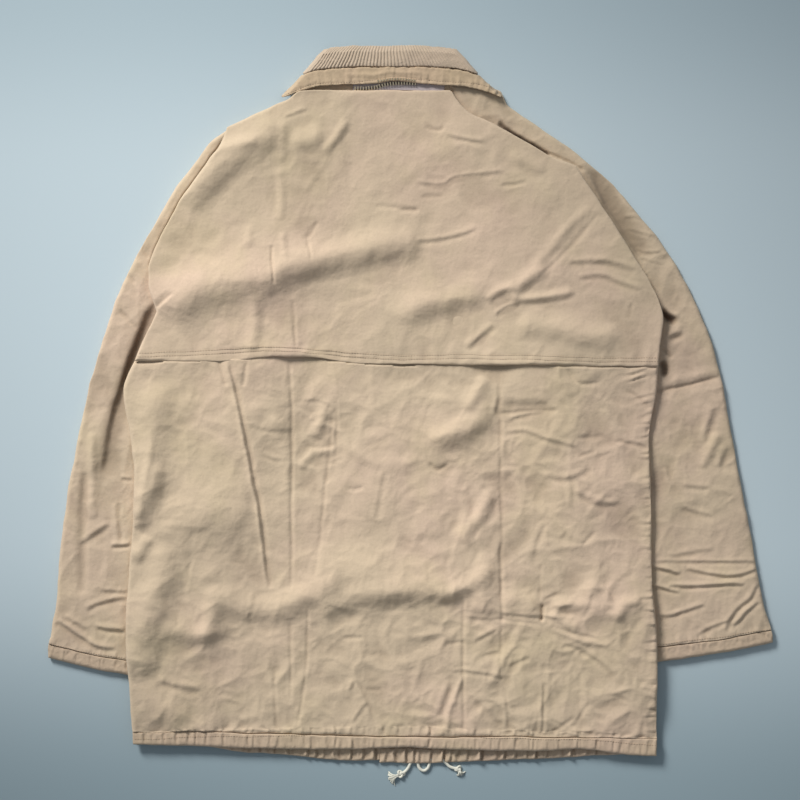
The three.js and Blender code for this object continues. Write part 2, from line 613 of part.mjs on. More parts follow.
// Places round the flattened neck, from the closing by the left end, the back and the right end
// to the closing again. `over` is 0 on the front layer and 1 on the back layer.
function roundTheNeck(leftX, rightX, backSteps) {
  const endSteps = 4;
  const startX = leftX + COLLAR_END_ROUNDING;
  const endX = rightX - COLLAR_END_ROUNDING;
  const places = [];
  for (const x of alongFront(CLOSING_X - CLOSING_GAP / 2, startX)) places.push({ x, over: 0 });
  for (let i = 0; i < endSteps; i++) {
    const angle = Math.PI * (i / endSteps - 0.5);
    const x = startX - COLLAR_END_ROUNDING * Math.cos(angle);
    places.push({ x, over: (1 + Math.sin(angle)) / 2 });
  }
  for (let i = 0; i <= backSteps; i++) {
    places.push({ x: lerp(startX, endX, i / backSteps), over: 1, rib: i % 2 });
  }
  for (let i = 1; i <= endSteps; i++) {
    const angle = Math.PI * (0.5 - i / endSteps);
    const x = endX + COLLAR_END_ROUNDING * Math.cos(angle);
    places.push({ x, over: (1 + Math.sin(angle)) / 2 });
  }
  const back = alongFront(CLOSING_X + CLOSING_GAP / 2, endX).reverse();
  for (const x of back) places.push({ x, over: 0 });
  return places;
}

// One line of points round the collar. The front layer drops to the front neckline.
function collarLine(level, { frontZ, backZ, inset, backSteps, ribHeight = 0 }) {
  const { leftX, rightX, middleY, endY, frontRise } = level;
  const middleX = (leftX + rightX) / 2;
  const halfWidth = (rightX - leftX) / 2;
  return roundTheNeck(leftX + inset, rightX - inset, backSteps).map(({ x, over, rib = 0 }) => {
    const across = Math.min(1, Math.abs(x - middleX) / halfWidth);
    const aside = Math.min(1, Math.abs(x - NECK_CENTRE_X) / NECK_HALF_WIDTH);
    const atFold = 1 - across ** FRONT_FOLD_SQUARENESS;
    const drop = FRONT_NECK_DROP * Math.min(atFold, 1 - aside ** FRONT_NECK_SQUARENESS);
    const y = lerp(middleY, endY, across ** 4) - (1 - over) * (drop - frontRise);
    const z = lerp(frontZ, backZ(across), over) + rib * ribHeight;
    return new THREE.Vector3(x, y, z);
  });
}

const fallLevel = curveThrough(FALL_LEVELS, "level");
const standLevel = curveThrough(STAND_LEVELS, "level");

function fallUnderside(level) {
  return (across) =>
    FALL_BACK_HEIGHT + level ** 2 * (FALL_LIFT_MIDDLE + FALL_LIFT_ENDS * across ** 4);
}

// The shell band from the rib seam to the free edge
function collarBand() {
  const levels = [RIB_SEAM_LEVEL + 0.03, 0.7, 0.85, 1];
  const backSteps = 24;
  const inside = levels.map((level) =>
    collarLine(fallLevel(level), {
      frontZ: FALL_FRONT_HEIGHT + COLLAR_WALL,
      backZ: fallUnderside(level),
      inset: COLLAR_WALL,
      backSteps,
    }),
  );
  const outside = levels.map((level) =>
    collarLine(fallLevel(level), {
      frontZ: FALL_FRONT_HEIGHT,
      backZ: (across) => fallUnderside(level)(across) + COLLAR_WALL,
      inset: 0,
      backSteps,
    }),
  );
  return wallBetween(outside, inside);
}

// The rib knit runs from its seam over the fold and meets the top of the stand inside it
function collarRib() {
  const backSteps = 2 * RIB_COUNT;
  const foldInside = 2.6;
  const legs = [RIB_SEAM_LEVEL, 0.2];
  const outside = [];
  const inside = [];
  for (const level of legs) {
    const place = fallLevel(level);
    const backZ = fallUnderside(level);
    const top = (across) => backZ(across) + COLLAR_WALL;
    const under = FALL_FRONT_HEIGHT + COLLAR_WALL;
    outside.push(
      collarLine(place, { frontZ: 0, backZ: top, inset: 0, backSteps, ribHeight: RIB_HEIGHT }),
    );
    inside.push(collarLine(place, { frontZ: under, backZ, inset: COLLAR_WALL, backSteps }));
  }
  const fold = fallLevel(0);
  const middleFront = (FALL_FRONT_HEIGHT + STAND_FRONT_HEIGHT + COLLAR_WALL) / 2;
  const middleBack = (STAND_BACK_HEIGHT + FALL_BACK_HEIGHT + COLLAR_WALL) / 2;
  outside.push(
    collarLine(fold, { frontZ: middleFront, backZ: () => middleBack, inset: 0, backSteps }),
  );
  const foldBehind = { ...fold, middleY: fold.middleY - foldInside, endY: fold.endY - foldInside };
  inside.push(
    collarLine(foldBehind, {
      frontZ: middleFront,
      backZ: () => middleBack,
      inset: COLLAR_WALL,
      backSteps,
    }),
  );
  const legEnd = standLevel(0);
  legEnd.middleY += SEAM_GAP;
  legEnd.endY += SEAM_GAP;
  outside.push(
    collarLine(legEnd, {
      frontZ: STAND_FRONT_HEIGHT + COLLAR_WALL,
      backZ: () => STAND_BACK_HEIGHT,
      inset: COLLAR_WALL,
      backSteps,
    }),
  );
  inside.push(
    collarLine(legEnd, {
      frontZ: STAND_FRONT_HEIGHT,
      backZ: () => STAND_BACK_HEIGHT + COLLAR_WALL,
      inset: 0,
      backSteps,
    }),
  );
  return wallBetween(outside, inside);
}

function collarStand() {
  const levels = [0, 0.33, 0.66, 1];
  const backSteps = 12;
  const outside = levels.map((level) =>
    collarLine(standLevel(level), {
      frontZ: STAND_FRONT_HEIGHT,
      backZ: () => STAND_BACK_HEIGHT + COLLAR_WALL,
      inset: 0,
      backSteps,
    }),
  );
  const inside = levels.map((level) =>
    collarLine(standLevel(level), {
      frontZ: STAND_FRONT_HEIGHT + COLLAR_WALL,
      backZ: () => STAND_BACK_HEIGHT,
      inset: COLLAR_WALL,
      backSteps,
    }),
  );
  return wallBetween(outside, inside);
}

// The hood's half of its zip is sewn to the stand under the fall
function hoodZip() {
  const { leftX, rightX, bottomY, topY } = HOOD_ZIP;
  const bottomZ = STAND_BACK_HEIGHT + COLLAR_WALL + SEAM_GAP;
  const geometry = new THREE.BoxGeometry(rightX - leftX, topY - bottomY, TAPE_WALL);
  return geometry.translate(
    (leftX + rightX) / 2,
    (bottomY + topY) / 2,
    bottomZ + TAPE_WALL / 2,
  );
}

function cord(route) {
  const path = new THREE.CatmullRomCurve3(
    route.map(({ x, y }) => new THREE.Vector3(x, y, CORD_HEIGHT)),
  );
  const section = new THREE.Shape().absarc(0, 0, CORD_RADIUS, 0, 2 * Math.PI);
  const steps = Math.max(4, Math.round(path.getLength() / (3 * CORD_RADIUS)) * 2);
  return new THREE.ExtrudeGeometry(section, {
    steps,
    curveSegments: 8,
    extrudePath: path,
  });
}

// A knot lies on the floor with its turning axis along the cord
function knot(place, profile) {
  const ends = [
    new THREE.Vector2(0, profile[0].along),
    ...profile.map(({ along, radius }) => new THREE.Vector2(radius, along)),
    new THREE.Vector2(0, profile[profile.length - 1].along),
  ];
  const widest = Math.max(...profile.map(({ radius }) => radius));
  const geometry = new THREE.LatheGeometry(ends, KNOT_SIDES);
  geometry.rotateZ(-Math.PI / 2);
  geometry.scale(1, 1, place.squash);
  geometry.rotateZ((place.heading * Math.PI) / 180);
  return geometry.translate(place.x, place.y, widest * place.squash + 0.05);
}

const parka = new THREE.Group();

function addPiece(name, geometry, material) {
  const piece = new THREE.Mesh(geometry, material);
  piece.name = name;
  parka.add(piece);
  return piece;
}

const garment = [
  addPiece("back_panel", backPanel(), shell),
  addPiece("storm_flap", stormFlap(), shell),
  addPiece("back_hem", backHem(), shellShaded),
  addPiece("front_left", frontPanel("left"), shell),
  addPiece("front_right", frontPanel("right"), shell),
  addPiece("front_hem_left", frontHem("left"), shellShaded),
  addPiece("front_hem_right", frontHem("right"), shellShaded),
  addPiece("front_zip", frontZip(), zipTape),
  addPiece("sleeve_left", sleeveTube(LEFT_SLEEVE), shell),
  addPiece("sleeve_right", sleeveTube(RIGHT_SLEEVE), shellShaded),
  addPiece("cuff_left", sleeveTube(LEFT_CUFF), shellShaded),
  addPiece("cuff_right", sleeveTube(RIGHT_CUFF), shellShaded),
  addPiece("collar_stand", collarStand(), shellShaded),
  addPiece("collar_rib", collarRib(), ribKnit),
  addPiece("collar_band", collarBand(), shellShaded),
  addPiece("hood_zip", hoodZip(), zipTape),
];
addPiece("drawcord_left", cord(LEFT_CORD), cordCotton);
addPiece("drawcord_loop", cord(CORD_LOOP), cordCotton);
addPiece("drawcord_right", cord(RIGHT_CORD), cordCotton);
addPiece("knot_left", knot(LEFT_KNOT, LEFT_KNOT_PROFILE), cordCotton);
addPiece("knot_right", knot(RIGHT_KNOT, RIGHT_KNOT_PROFILE), cordCotton);

// The garment without its cord ends is centred over the origin and stands on the floor
const bounds = new THREE.Box3();
for (const piece of garment) bounds.expandByObject(piece);
const middle = bounds.getCenter(new THREE.Vector3());
parka.position.set(-middle.x, -middle.y, -bounds.min.z);

export default parka;
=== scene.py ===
"""A padded cotton parka laid flat with its back upwards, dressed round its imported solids."""

import math
from collections import namedtuple

import bpy
import numpy as np
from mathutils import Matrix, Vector, noise
from mathutils.bvhtree import BVHTree
from mathutils.geometry import delaunay_2d_cdt
from mathutils.kdtree import KDTree


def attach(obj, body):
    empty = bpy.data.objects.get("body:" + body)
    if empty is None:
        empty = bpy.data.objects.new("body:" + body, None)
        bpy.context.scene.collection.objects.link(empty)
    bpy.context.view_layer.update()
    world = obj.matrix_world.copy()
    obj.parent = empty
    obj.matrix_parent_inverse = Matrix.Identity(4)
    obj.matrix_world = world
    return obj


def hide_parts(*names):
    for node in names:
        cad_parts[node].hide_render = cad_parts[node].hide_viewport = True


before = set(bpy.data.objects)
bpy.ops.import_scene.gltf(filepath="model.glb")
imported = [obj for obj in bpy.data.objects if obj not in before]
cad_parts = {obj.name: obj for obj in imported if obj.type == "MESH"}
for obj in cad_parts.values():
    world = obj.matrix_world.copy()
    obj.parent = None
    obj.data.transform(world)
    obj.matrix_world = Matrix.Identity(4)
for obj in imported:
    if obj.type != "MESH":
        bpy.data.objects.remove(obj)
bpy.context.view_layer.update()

MM = 0.001

# Every run gives the same noise
NOISE_SEED = 11
noise.seed_set(NOISE_SEED)

# The photograph, looked at from straight above: its middle in the row frame and the size of a pixel
PIXEL = 1.2 * MM
PHOTO_MIDDLE_PX = 400
PHOTO_MIDDLE_X = -12.6 * MM
PHOTO_MIDDLE_Y = 5.7 * MM
PHOTO_WIDTH = 800 * PIXEL
CAMERA_HEIGHT = 2.2
SENSOR = 36


def place_of(px, py):
    """The point of the row frame that a pixel shows, as x and y in metres."""
    x = PHOTO_MIDDLE_X + (px - PHOTO_MIDDLE_PX) * PIXEL
    y = PHOTO_MIDDLE_Y - (py - PHOTO_MIDDLE_PX) * PIXEL
    return x, y


def line_of(pixels):
    """A line of pixels as points of the row frame."""
    return np.array([place_of(px, py) for px, py in pixels])


def pixel_x(points):
    """Where points of the row frame lie across the photograph, in pixels."""
    return (points[:, 0] - PHOTO_MIDDLE_X) / PIXEL + PHOTO_MIDDLE_PX


def linked(name, data):
    """A new object in the scene."""
    piece = bpy.data.objects.new(name, data)
    bpy.context.collection.objects.link(piece)
    return piece


# Camera and lights

WINDOW_PLACE = (-1.8, 2.5, 1.9)
WINDOW_AIM = (-0.12, 0.0, 0)
WINDOW_RADIUS = 0.7
WINDOW_SPREAD = math.radians(28)
WINDOW_WATTS = 1000
WINDOW_COLOUR = (1, 0.985, 0.955)
SKY_COLOUR = (0.88, 0.94, 1.0)
SKY_STRENGTH = 0.3


def add_camera():
    data = bpy.data.cameras.new("camera")
    data.sensor_width = SENSOR
    data.lens = SENSOR * CAMERA_HEIGHT / PHOTO_WIDTH
    camera = linked("camera", data)
    camera.location = (PHOTO_MIDDLE_X, PHOTO_MIDDLE_Y, CAMERA_HEIGHT)
    bpy.context.scene.camera = camera


def add_window():
    """One large soft light, brightest in the middle of the view."""
    data = bpy.data.lights.new("window", "SPOT")
    data.shadow_soft_size = WINDOW_RADIUS
    data.spot_size = WINDOW_SPREAD
    data.spot_blend = 1
    data.energy = WINDOW_WATTS
    data.color = WINDOW_COLOUR
    lamp = linked("window", data)
    lamp.location = WINDOW_PLACE
    way = Vector(WINDOW_AIM) - Vector(WINDOW_PLACE)
    lamp.rotation_euler = way.to_track_quat("-Z", "Y").to_euler()


def add_world():
    world = bpy.data.worlds.new("world")
    world.use_nodes = True
    background = world.node_tree.nodes["Background"]
    background.inputs["Color"].default_value = (*SKY_COLOUR, 1)
    background.inputs["Strength"].default_value = SKY_STRENGTH
    bpy.context.scene.world = world


add_camera()
bpy.context.scene.view_settings.view_transform = "Standard"
add_window()
add_world()


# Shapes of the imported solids

def node_triangles(name):
    """The triangles of a CAD node as an array of corners."""
    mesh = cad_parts[name].data
    mesh.calc_loop_triangles()
    points = np.empty(len(mesh.vertices) * 3)
    mesh.vertices.foreach_get("co", points)
    corners = np.empty(len(mesh.loop_triangles) * 3, dtype=np.int32)
    mesh.loop_triangles.foreach_get("vertices", corners)
    return points.reshape(-1, 3), corners.reshape(-1, 3)


GRAIN = 0.02 * MM
LEAST_FACING_UP = 0.03


def merged(points, corners):
    """The same triangles with points at one place joined."""
    keys = np.round(points / GRAIN).astype(np.int64)
    _, first, same = np.unique(keys, axis=0, return_index=True, return_inverse=True)
    return points[first], same.reshape(-1)[corners]


def top_sheet_outline(name):
    """The outline, seen from above, of the largest stretch of a node's surface that faces up."""
    points, corners = merged(*node_triangles(name))
    a, b, c = (points[corners[:, i]] for i in range(3))
    normal = np.cross(b - a, c - a)
    size = np.linalg.norm(normal, axis=1)
    up = normal[:, 2] > LEAST_FACING_UP * np.maximum(size, 1e-15)
    chosen = corners[up]
    owner = {}
    for index, triangle in enumerate(chosen):
        for i in range(3):
            owner[(int(triangle[i]), int(triangle[(i + 1) % 3]))] = index
    group = [-1] * len(chosen)
    groups = []
    for start in range(len(chosen)):
        if group[start] >= 0:
            continue
        members = [start]
        group[start] = len(groups)
        for index in members:
            triangle = chosen[index]
            for i in range(3):
                other = owner.get((int(triangle[(i + 1) % 3]), int(triangle[i])))
                if other is not None and group[other] < 0:
                    group[other] = len(groups)
                    members.append(other)
        groups.append(members)
    areas = [sum(normal[up][m, 2] for m in members) for members in groups]
    largest = int(np.argmax(areas))
    following = {}
    for (p, q), index in owner.items():
        back = owner.get((q, p))
        if group[index] == largest and (back is None or group[back] != largest):
            following[p] = q
    loops = []
    while following:
        start = next(iter(following))
        loop = []
        at = start
        while at in following:
            loop.append(at)
            at = following.pop(at)
        loops.append(points[loop][:, :2])
    return max(loops, key=polygon_area)


def polygon_area(loop):
    x, y = loop[:, 0], loop[:, 1]
    return 0.5 * float(np.sum(x * np.roll(y, -1) - y * np.roll(x, -1)))


CORNER_TURN = math.radians(32)
SHORTEST_SIDE = 0.2 * MM


def smooth_outline(loop, pitch, blur):
    """The outline again at an even pitch, with its facets smoothed but its corners kept."""
    step = np.roll(loop, -1, axis=0) - loop
    loop = loop[np.linalg.norm(step, axis=1) > SHORTEST_SIDE]
    before = loop - np.roll(loop, 1, axis=0)
    after = np.roll(loop, -1, axis=0) - loop
    cross = before[:, 0] * after[:, 1] - before[:, 1] * after[:, 0]
    turn = np.abs(np.arctan2(cross, np.sum(before * after, axis=1)))
    corners = np.flatnonzero(turn > CORNER_TURN)
    if len(corners) == 0:
        corners = np.array([0])
    out = []
    for i, start in enumerate(corners):
        end = corners[(i + 1) % len(corners)]
        count = (end - start) % len(loop)
        if count == 0:
            count = len(loop)
        stretch = loop[[(start + k) % len(loop) for k in range(count + 1)]]
        along = np.concatenate([[0], np.cumsum(np.linalg.norm(np.diff(stretch, axis=0), axis=1))])
        steps = max(2, int(round(along[-1] / pitch)))
        at = np.linspace(0, along[-1], steps + 1)
        line = np.stack([np.interp(at, along, stretch[:, k]) for k in range(2)], axis=1)
        half = min(int(2.5 * blur / pitch), steps)
        if half >= 1:
            weights = np.exp(-0.5 * (np.arange(-half, half + 1) * pitch / blur) ** 2)
            weights /= weights.sum()
            before_it = 2 * line[0] - line[half:0:-1]
            after_it = 2 * line[-1] - line[-2 : -half - 2 : -1]
            longer = np.concatenate([before_it, line, after_it])
            line = np.stack([np.convolve(longer[:, k], weights, "valid") for k in range(2)], axis=1)
        out.append(line[:-1])
    return np.concatenate(out)


def inward(loop, by):
    """The outline moved inwards, for the rounding of a free edge."""
    along = np.roll(loop, -1, axis=0) - np.roll(loop, 1, axis=0)
    along /= np.maximum(np.linalg.norm(along, axis=1, keepdims=True), 1e-12)
    return loop + by * np.stack([-along[:, 1], along[:, 0]], axis=1)


def inside(loop, points):
    """Which points lie inside a loop."""
    within = np.zeros(len(points), dtype=bool)
    x, y = points[:, 0], points[:, 1]
    for (x1, y1), (x2, y2) in zip(loop, np.roll(loop, -1, axis=0)):
        if y1 == y2:
            continue
        crossing = (y1 > y) != (y2 > y)
        within ^= crossing & (x < x1 + (x2 - x1) * (y - y1) / (y2 - y1))
    return within


ROW_HEIGHT = 0.866


def grid_points(loop, pitch_at):
    """Points of a staggered grid over the loop's box, row by row, each row at its own pitch."""
    low, high = loop.min(axis=0), loop.max(axis=0)
    rows = []
    y = low[1]
    odd = False
    while y < high[1]:
        pitch = pitch_at(y)
        x = np.arange(low[0] + (pitch / 2 if odd else 0), high[0], pitch)
        rows.append(np.stack([x, np.full(len(x), y)], axis=1))
        y += pitch * ROW_HEIGHT
        odd = not odd
    return np.concatenate(rows)


def distance_to_loop(loop, points):
    """How far each point is from an evenly spaced loop."""
    tree = KDTree(len(loop))
    for i, (x, y) in enumerate(loop):
        tree.insert((x, y, 0), i)
    tree.balance()
    return np.array([tree.find((x, y, 0))[2] for x, y in points])


class Field:
    """A smooth height over the plan, from rays down on a CAD node and blurred on a coarse grid."""

    CELL = 6 * MM
    MARGIN = 60 * MM
    RIM = 5 * MM
    # Wider blurs, in cells, with the share that fills the places where the narrower ones find nothing
    WIDER = ((4, 1e-3), (12, 1e-6))

    def __init__(self, name, loop, from_above, blur):
        points, corners = node_triangles(name)
        tree = BVHTree.FromPolygons(points.tolist(), corners.tolist())
        self.low = loop.min(axis=0) - self.MARGIN
        size = np.ceil((loop.max(axis=0) + self.MARGIN - self.low) / self.CELL).astype(int) + 1
        xs = self.low[0] + np.arange(size[0]) * self.CELL
        ys = self.low[1] + np.arange(size[1]) * self.CELL
        spots = np.stack(np.meshgrid(xs, ys), axis=-1).reshape(-1, 2)
        rim = min(self.RIM, 0.5 * abs(polygon_area(loop)) / loop_length(loop))
        wanted = inside(loop, spots)
        wanted[wanted] = distance_to_loop(loop, spots[wanted]) > rim
        start, way = (1, -1) if from_above else (-1, 1)
        height = np.zeros(len(spots))
        for i in np.flatnonzero(wanted):
            hit = tree.ray_cast((spots[i][0], spots[i][1], start), (0, 0, way))[0]
            if hit is None:
                wanted[i] = False
            else:
                height[i] = hit.z
        shape = (size[1], size[0])
        known = wanted.astype(float).reshape(shape)
        value = (height * wanted).reshape(shape)
        total, weight = blurred(value, blur / self.CELL), blurred(known, blur / self.CELL)
        for cells, share in self.WIDER:
            total = total + share * blurred(value, cells)
            weight = weight + share * blurred(known, cells)
        self.values = total / np.maximum(weight, 1e-30)

    def at(self, points):
        """The height over each point."""
        place = (points - self.low) / self.CELL
        base = np.clip(np.floor(place).astype(int), 0, np.array(self.values.shape)[::-1] - 2)
        fx, fy = (place - base).T
        i, j = base.T
        v = self.values
        return (
            v[j, i] * (1 - fx) * (1 - fy)
            + v[j, i + 1] * fx * (1 - fy)
            + v[j + 1, i] * (1 - fx) * fy
            + v[j + 1, i + 1] * fx * fy
        )


def loop_length(loop):
    return float(np.sum(np.linalg.norm(np.roll(loop, -1, axis=0) - loop, axis=1)))


def blurred(values, cells):
    """A grid of values, softened over a number of cells."""
    half = max(1, int(3 * cells))
    weights = np.exp(-0.5 * (np.arange(-half, half + 1) / cells) ** 2)
    weights /= weights.sum()

    def along_line(line):
        return np.convolve(line, weights)[half : half + len(line)]

    return np.apply_along_axis(along_line, 1, np.apply_along_axis(along_line, 0, values))


# Folds and creases

Crease = namedtuple("Crease", "kind width height points")
FOLD_DEPTH = 1.5


def eased(part):
    """A share from 0 to 1 that starts and ends softly."""
    return part**2 * (3 - 2 * part)


def points_near(points, line, reach):
    """Which points lie in a line's box, widened by a reach."""
    low, high = line.min(axis=0) - reach, line.max(axis=0) + reach
    return np.flatnonzero(np.all((points > low) & (points < high), axis=1))


def profile(kind, across):
    """The height of a crease beside its line, where across is the distance to the left in widths."""
    bell = np.exp(-across * across)
    if kind == "ridge":
        return bell * (1.25 - 0.5 * across * across)
    if kind == "valley":
        return -bell * (1.2 - 0.5 * across * across)
    if kind == "step":
        return 1.6 * across * bell
    if kind == "drop":
        return -1.6 * across * bell
    if kind == "cliff":
        return np.where(across > 0, -(1 - np.exp(-((6 * across) ** 2))) * np.clip(1 - across, 0, 1), 0)
    if kind == "shadow":
        return np.where(across > 0, np.clip(1 - across, 0, 1) ** 1.4, np.exp(-((9 * across) ** 2)))
    behind = -across if kind == "fold" else across
    part = np.clip(behind, 0, 1)
    slope = 1 - part + 0.5 * np.sin(2 * np.pi * part) / (2 * np.pi)
    return FOLD_DEPTH * np.where(behind > 0, slope, np.exp(-((1.5 * behind) ** 2)))


def crease_height(creases, points):
    """The summed height of the listed creases at each point."""
    total = np.zeros(len(points))
    for crease in creases:
        width = crease.width * MM
        line = rounded_line(line_of(crease.points))
        near = points_near(points, line, 3 * width)
        if len(near) == 0:
            continue
        spots = points[near]
        lengths = np.linalg.norm(np.diff(line, axis=0), axis=1)
        starts = np.concatenate([[0], np.cumsum(lengths)])
        best = np.full(len(spots), np.inf)
        signed = np.zeros(len(spots))
        along = np.zeros(len(spots))
        for k in range(len(lengths)):
            run = (line[k + 1] - line[k]) / max(lengths[k], 1e-9)
            offset = spots - line[k]
            t = np.clip(offset @ run, 0, lengths[k])
            gap = offset - t[:, None] * run
            distance = np.linalg.norm(gap, axis=1)
            closer = distance < best
            best[closer] = distance[closer]
            side = np.sign(run[0] * offset[:, 1] - run[1] * offset[:, 0])
            signed[closer] = (distance * side)[closer]
            along[closer] = (starts[k] + t)[closer]
        part = along / max(starts[-1], 1e-9)
        fade = min(0.8 * width + 2.5 * MM, 0.5 * starts[-1])
        near_end = np.clip(np.minimum(along, starts[-1] - along) / fade, 0, 1)
        ends = eased(near_end) * np.clip(4 * part * (1 - part), 0, 1) ** 0.35
        total[near] += crease.height * MM * ends * profile(crease.kind, signed / width)
    return total


def rounded_line(line):
    """A polyline with its corners cut twice, so that a crease bends softly."""
    for _ in range(2):
        if len(line) < 3:
            return line
        first, second = line[:-1], line[1:]
        cut = np.stack([0.75 * first + 0.25 * second, 0.25 * first + 0.75 * second], axis=1)
        line = np.concatenate([line[:1], cut.reshape(-1, line.shape[1])[1:-1], line[-1:]])
    return line


# A stretch of the photograph: the pixel of its middle or edge, and how softly it ends, in pixels
Span = namedtuple("Span", "pixel softness")
RIGHT_HALF = Span(440, 35)
LOWER_HALF = Span(370, 30)
LOWEST_PART = Span(600, 25)
PLEAT_ACROSS = Span(318, 26)
PLEAT_DOWN = Span(435, 48)
EVEN_WEAR = 0.55


def wear(points):
    """How crumpled the cloth is: most at the lower right and by the pleat, least on the upper left."""
    px = pixel_x(points)
    py = (PHOTO_MIDDLE_Y - points[:, 1]) / PIXEL + PHOTO_MIDDLE_PX
    right, low, lowest = rising(px, RIGHT_HALF), rising(py, LOWER_HALF), rising(py, LOWEST_PART)
    across = (px - PLEAT_ACROSS.pixel) / PLEAT_ACROSS.softness
    down = (py - PLEAT_DOWN.pixel) / PLEAT_DOWN.softness
    by_pleat = np.exp(-(across**2) - down**2)
    return EVEN_WEAR + 0.5 * right * low + 0.7 * by_pleat + 0.15 * low + 0.4 * lowest


def rising(value, edge):
    """A share that rises from 0 to 1 across a soft edge."""
    return 1 / (1 + np.exp(-(value - edge.pixel) / edge.softness))


def hump(value, middle):
    """A share that is 1 in a span's middle and fades on both sides."""
    return np.exp(-(((value - middle.pixel) / middle.softness) ** 2))


BEND = 0.55
WIDEST_FACET = 0.6
MEAN_FACET = 0.3


def crumple(points, seed, cell, height):
    """Small facets between soft ridges, as in cotton that has been folded and put away."""
    out = np.empty(len(points))
    scale = 1 / cell
    for i, (x, y) in enumerate(points):
        u, v = x * scale, y * scale
        bend = noise.noise_vector((u * 0.7, v * 0.7, seed)) * BEND
        distances = noise.voronoi((u + bend.x, v + bend.y, seed))[0]
        out[i] = min(WIDEST_FACET, distances[1] - distances[0])
    return height * (MEAN_FACET - out)


def billow(points, seed, cell, height, stretch=(1, 1)):
    """Soft, slow unevenness of the padding."""
    sx, sy = stretch[0] / cell, stretch[1] / cell
    return height * np.array([noise.fractal((x * sx, y * sy, seed), 1.0, 2.1, 3) for x, y in points])


# The drift, and how often its slow and its quick part turn in a metre
WANDER = 1.1 * MM
SLOW_TURNS = 26
QUICK_TURNS = 70


def wander(points):
    """A small sideways drift that every piece shares, so that seams stay closed but aren't straight."""
    out = points.copy()
    for i, (x, y) in enumerate(points):
        slow = noise.noise_vector((x * SLOW_TURNS, y * SLOW_TURNS, 3.7))
        drift = slow + 0.6 * noise.noise_vector((x * QUICK_TURNS, y * QUICK_TURNS, 9.1))
        out[i, 0] += WANDER * drift.x
        out[i, 1] += WANDER * drift.y
    return out


# Cloth

ROUNDING_STEPS = (0.35, 1.0, 2.2)
OUTLINE_BLUR = 5 * MM
UNDERSIDE_PITCH = 14 * MM
UNDERSIDE_RIM = 6 * MM
RELIEF_FADE = 2.5 * MM
SEAM_RADIUS = 0.45 * MM
SEAM_FILL = 0.6


def cloth(
    name, node, pitch_at, relief, edge_radius, blur=16 * MM, outline_pitch=2 * MM,
    least_thickness=1.2 * MM, lift=None, shade=None, shift=None,
):
    """A closed, fine shell on a solid's form: its outline, its two faces, and relief on the upper one."""
    loop = smooth_outline(top_sheet_outline(node), outline_pitch, OUTLINE_BLUR)
    top_field = Field(node, loop, True, blur)
    floor_field = Field(node, loop, False, blur)
    rings = [loop] + [inward(loop, step * MM) for step in ROUNDING_STEPS]
    grid = grid_points(loop, pitch_at)
    grid = grid[inside(loop, grid)]
    grid = grid[distance_to_loop(loop, grid) > (ROUNDING_STEPS[-1] + 1) * MM]
    coarse = grid_points(loop, lambda y: UNDERSIDE_PITCH)
    coarse = coarse[inside(loop, coarse)]
    coarse = coarse[distance_to_loop(loop, coarse) > UNDERSIDE_RIM]
    upper, upper_faces = triangulated(rings, grid)
    lower, lower_faces = triangulated(rings[:3], coarse)
    count = len(loop)

    def faces_of(points):
        depth = distance_to_loop(loop, points)
        depth[:count] = 0
        radius = edge_radius(points) if callable(edge_radius) else edge_radius
        part = np.clip(depth / radius, 0, 1)
        swell = np.sqrt(1 - (1 - part) ** 2)
        top, floor = top_field.at(points), floor_field.at(points)
        middle, half = (top + floor) / 2, (top - floor) / 2
        return depth, swell, middle, half

    depth, swell, middle, half = faces_of(upper)
    height = middle + half * swell
    fade = np.clip(depth / RELIEF_FADE, 0, 1)
    raised = relief(upper, depth) * fade
    height += raised
    rise = lift(upper) if lift else 0
    height += rise
    _, swell_low, middle_low, half_low = faces_of(lower)
    floor_height = middle_low - half_low * swell_low
    floor_height += lift(lower) if lift else 0
    floor_here = middle - half * swell + rise
    height = np.maximum(height, floor_here + least_thickness * swell)
    rim = edge_radius(loop) if callable(edge_radius) else np.full(count, edge_radius)
    closed = np.where(rim < 2 * SEAM_RADIUS, SEAM_FILL, 0)
    height[:count] = middle[:count] + closed * half[:count] + (rise[:count] if lift else 0)
    move = shift if shift else np.zeros_like
    points = np.column_stack([wander(upper) + move(upper), height])
    below = np.column_stack([wander(lower) + move(lower), floor_height])[count:]
    points = np.concatenate([points, below])
    later = len(upper) - count
    lower_faces = np.where(lower_faces < count, lower_faces, lower_faces + later)[:, ::-1]
    # Painted shade on the upper face, darker in creases and gaps; none on the underside
    dark = (shade or crease_shade)(upper, depth, raised)
    dark = np.concatenate([dark, np.zeros(len(below))])
    return mesh_piece(name, node, points, np.concatenate([upper_faces, lower_faces]), dark)


def triangulated(rings, grid):
    """Triangles over the outline through its inner rings and a grid of points."""
    points = np.concatenate([*rings, grid])
    count = len(rings[0])
    rim = [list(range(count))]
    out = delaunay_2d_cdt([Vector(p) for p in points], [], rim, 1, 1e-7)
    made, faces, origin = out[0], out[2], out[3]
    new_index = [ids[0] if ids else None for ids in origin]
    extra = [i for i, ids in enumerate(origin) if not ids]
    if extra:
        added = np.array([made[i][:] for i in extra])
        for k, i in enumerate(extra):
            new_index[i] = len(points) + k
        points = np.concatenate([points, added])
    return points, np.array([[new_index[i] for i in face] for face in faces])


def mesh_piece(name, node, points, faces, dark):
    """A piece in place of a CAD node, with the painted shade at each point."""
    mesh = bpy.data.meshes.new(name)
    used = np.unique(faces)
    place = np.full(len(points), -1)
    place[used] = np.arange(len(used))
    mesh.from_pydata(points[used].tolist(), [], place[faces].tolist())
    mesh.shade_smooth()
    mesh.attributes.new("shade", "FLOAT", "POINT").data.foreach_set("value", dark[used])
    piece = linked(name, mesh)
    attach(piece, "root")
    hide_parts(node)
    return piece


def flat_relief(points, depth):
    """The even upper face of a tape."""
    return np.zeros(len(points))
